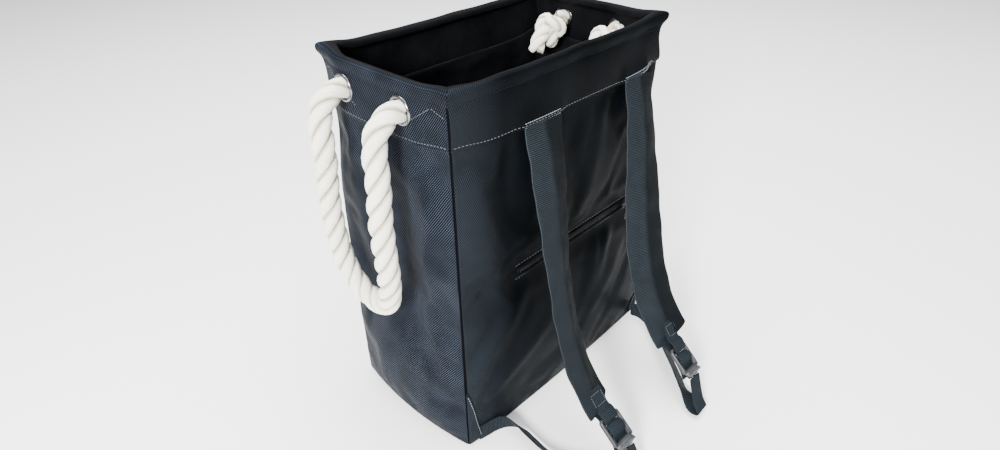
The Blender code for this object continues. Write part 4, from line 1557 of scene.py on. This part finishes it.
def make_slider():
    """The zip's slider: a waisted body with a bridge for its pull."""
    low, high = box_of("zip_slider")
    cx = (low[0] + high[0]) / 2
    length = high[0] - low[0]
    outline = []
    for k in range(24):
        a = 2 * math.pi * k / 24
        c, d = math.cos(a), math.sin(a)
        waist = 0.0043 + 0.0012 * smoothstep(c, -0.2, 0.9)
        outline.append((length / 2 * np.sign(c) * abs(c) ** 0.6,
                        waist * np.sign(d) * abs(d) ** 0.7))
    body = plate("slider_body", outline, [], 0.0024, 0.0007)
    bridge_path = np.array([(-0.0040, 0, 0.0008), (-0.0032, 0, 0.0026), (0.0, 0, 0.0034),
                            (0.0032, 0, 0.0026), (0.0040, 0, 0.0008)])
    path = evenly(catmull_rom(bridge_path, 5), 0.0008)
    across = np.tile([0.0, 1.0, 0.0], (len(path), 1))
    normal = np.cross(tangents(path), across)
    bridge = outward(lattice("bridge", tape_rings(path, across, normal, 0.0022, 0.0008)))
    slider = join([body, bridge], "zip_slider_body")
    x, y, z = points_of(slider).T
    move_points(slider, np.column_stack([cx + x, -Y_OUT - 0.0034 - z, ZIP_Z + y]))
    dress(metres_uv(outward(slider)), ZIP_METAL)
    riding(slider, "slider", "zip_parts", "zip_slider")


def make_pull():
    """The pull: a loop on the slider's bridge and a long ribbed tag."""
    low, high = box_of("zip_pull")
    cx = (low[0] + high[0]) / 2
    y = (low[1] + high[1]) / 2
    top, bottom = high[2] - ZIP_Z, low[2] - ZIP_Z
    tag = plate("tag", rounded_loop(0.0062, top - bottom, (top + bottom) / 2, 0.0022),
                [rounded_loop(0.0030, 0.0050, top - 0.0042, 0.0012)], 0.0018, 0.0005)
    ribs = [rod(f"rib_{k}", (-0.0020, bottom + 0.0032 + 0.0016 * k, 0.0008),
                (0.0020, bottom + 0.0032 + 0.0016 * k, 0.0008), 0.0004, 8) for k in range(5)]
    pull = join([tag, *ribs], "zip_pull_tag")
    local = points_of(pull)
    move_points(pull, np.column_stack([cx + local[:, 0], y - local[:, 2], ZIP_Z + local[:, 1]]))
    dress(metres_uv(outward(pull)), ZIP_METAL)
    riding(pull, "pull", "zip_parts", "zip_pull")


make_zip()
make_welt("zip_lower_welt", ZIP_Z - 0.0042, 0.0062, 0.0032)
make_welt("zip_upper_welt", ZIP_Z + 0.0050, 0.0068, 0.0020)
make_slider()
make_pull()


# ---- stitching on the pieces --------------------------------------------------------------------
def row_round_band(name, height, material=THREAD):
    """A row of stitches right round the band at one height."""
    rows = []
    z = BAND_BOTTOM + height
    for label, start, end, way in (("left", (-0.4, 0.102), (-0.4, -0.102), (1, 0, 0)),
                                   ("front", (-0.182, -0.4), (0.152, -0.4), (0, 1, 0)),
                                   ("right", (0.4, -0.102), (0.4, 0.102), (-1, 0, 0)),
                                   ("back", (0.170, 0.4), (-0.168, 0.4), (0, -1, 0))):
        along = np.linspace(start, end, 160)
        sag = sag_at(np.clip(along[:, 0], -X_OUT, X_OUT), np.clip(along[:, 1], -Y_OUT, Y_OUT),
                     height)
        fade = 1.0 - float(smoothstep(height, 0.002, 0.040))
        points, normals = trace(BAND_TREE, [(x, y, z + dz * fade)
                                            for (x, y), dz in zip(along, sag)], way)
        rows.append(stitches(f"{name}_{label}", points, normals, material=material))
    return riding(join(rows, name), "bag", "bag_fabric")


def row_on_front(name, tree, line, **kwargs):
    points, normals = trace(tree, [(x, -0.4, z) for x, z in line], (0, 1, 0))
    return stitches(name, points, normals, **kwargs)


def straight(a, b, count=60):
    return np.linspace(a, b, count)


row_round_band("band_lower_stitches", 0.0038)
row_round_band("hem_stitches", 0.0462, DARK_THREAD)

zip_rows = [row_on_front(f"zip_row_{k}", WALL_TREE,
                         straight((TAPE_LOW[0] - 0.004, z), (TAPE_HIGH[0] + 0.004, z), 90))
            for k, z in enumerate((ZIP_Z - 0.0086, ZIP_Z + 0.0102))]
flattening(riding(join(zip_rows, "zip_stitches"), "zipper", "bag_fabric"))

tacks = []
for side in SIDES:
    x = STRAP_HINGE[side][0]
    for k, height in enumerate((0.0016, 0.0062)):
        line = straight((x - 0.029, 0.0), (x + 0.029, 0.0))
        line[:, 1] = BAND_BOTTOM + height + sag_at(line[:, 0], -Y_OUT, height)
        tacks.append(row_on_front(f"{side}_tack_{k}", BAND_TREE, line, length=0.0026,
                                  gap=0.0005, radius=0.00042, material=PALE_THREAD))
riding(join(tacks, "strap_tack_stitches"), "bag", "bag_fabric")


def corner_stitches():
    """The slanting rows that close the corner of each end of the band."""
    rows = []
    for way, direction in ((-0.4, (1, 0, 0)), (0.4, (-1, 0, 0))):
        for mirror in (-1, 1):
            peak = (0.0831, 0.4485)
            for a, b in (((0.0369, 0.4187), peak), (peak, (0.1020, 0.4435))):
                line = np.linspace(a, b, 50)
                points, normals = trace(BAND_TREE, [(way, mirror * y, z) for y, z in line],
                                        direction)
                rows.append(stitches(f"corner_row_{len(rows)}", points, normals, 0.0028, 0.0010))
    return riding(join(rows, "corner_stitches"), "bag", "bag_fabric")


corner_stitches()


def box_stitches(side, name, body, ends, half):
    """A sewn box on a webbing's front, between two points (y, z) on it."""
    a, b = (np.array(end, float) for end in ends)
    along = (b - a) / np.linalg.norm(b - a)
    front = np.array([0.0, along[1], -along[0]])
    rows = []
    corners = [(-half, *a), (half, *a), (half, *b), (-half, *b), (-half, *a)]
    for k, (start, end) in enumerate(zip(corners, corners[1:])):
        line = from_hinge(side, np.linspace(start, end, 12) + [STRAP_DRIFT[side] * 0.85, 0, 0])
        normals = np.tile(from_hinge(side, front) - STRAP_HINGE[side], (12, 1))
        rows.append(stitches(f"{name}_{k}", line, normals, 0.0024, 0.0008, 0.0003))
    return riding(join(rows, name), body, "narrow_webbing")


for side in SIDES:
    box_stitches(side, f"{side}_carrier_stitches", f"{side}_strap",
                 (strap_end(0.018, 0.0044), strap_end(0.004, 0.0044)), 0.0095)

dress(bpy.data.objects["wire_ferrule"], STEEL)
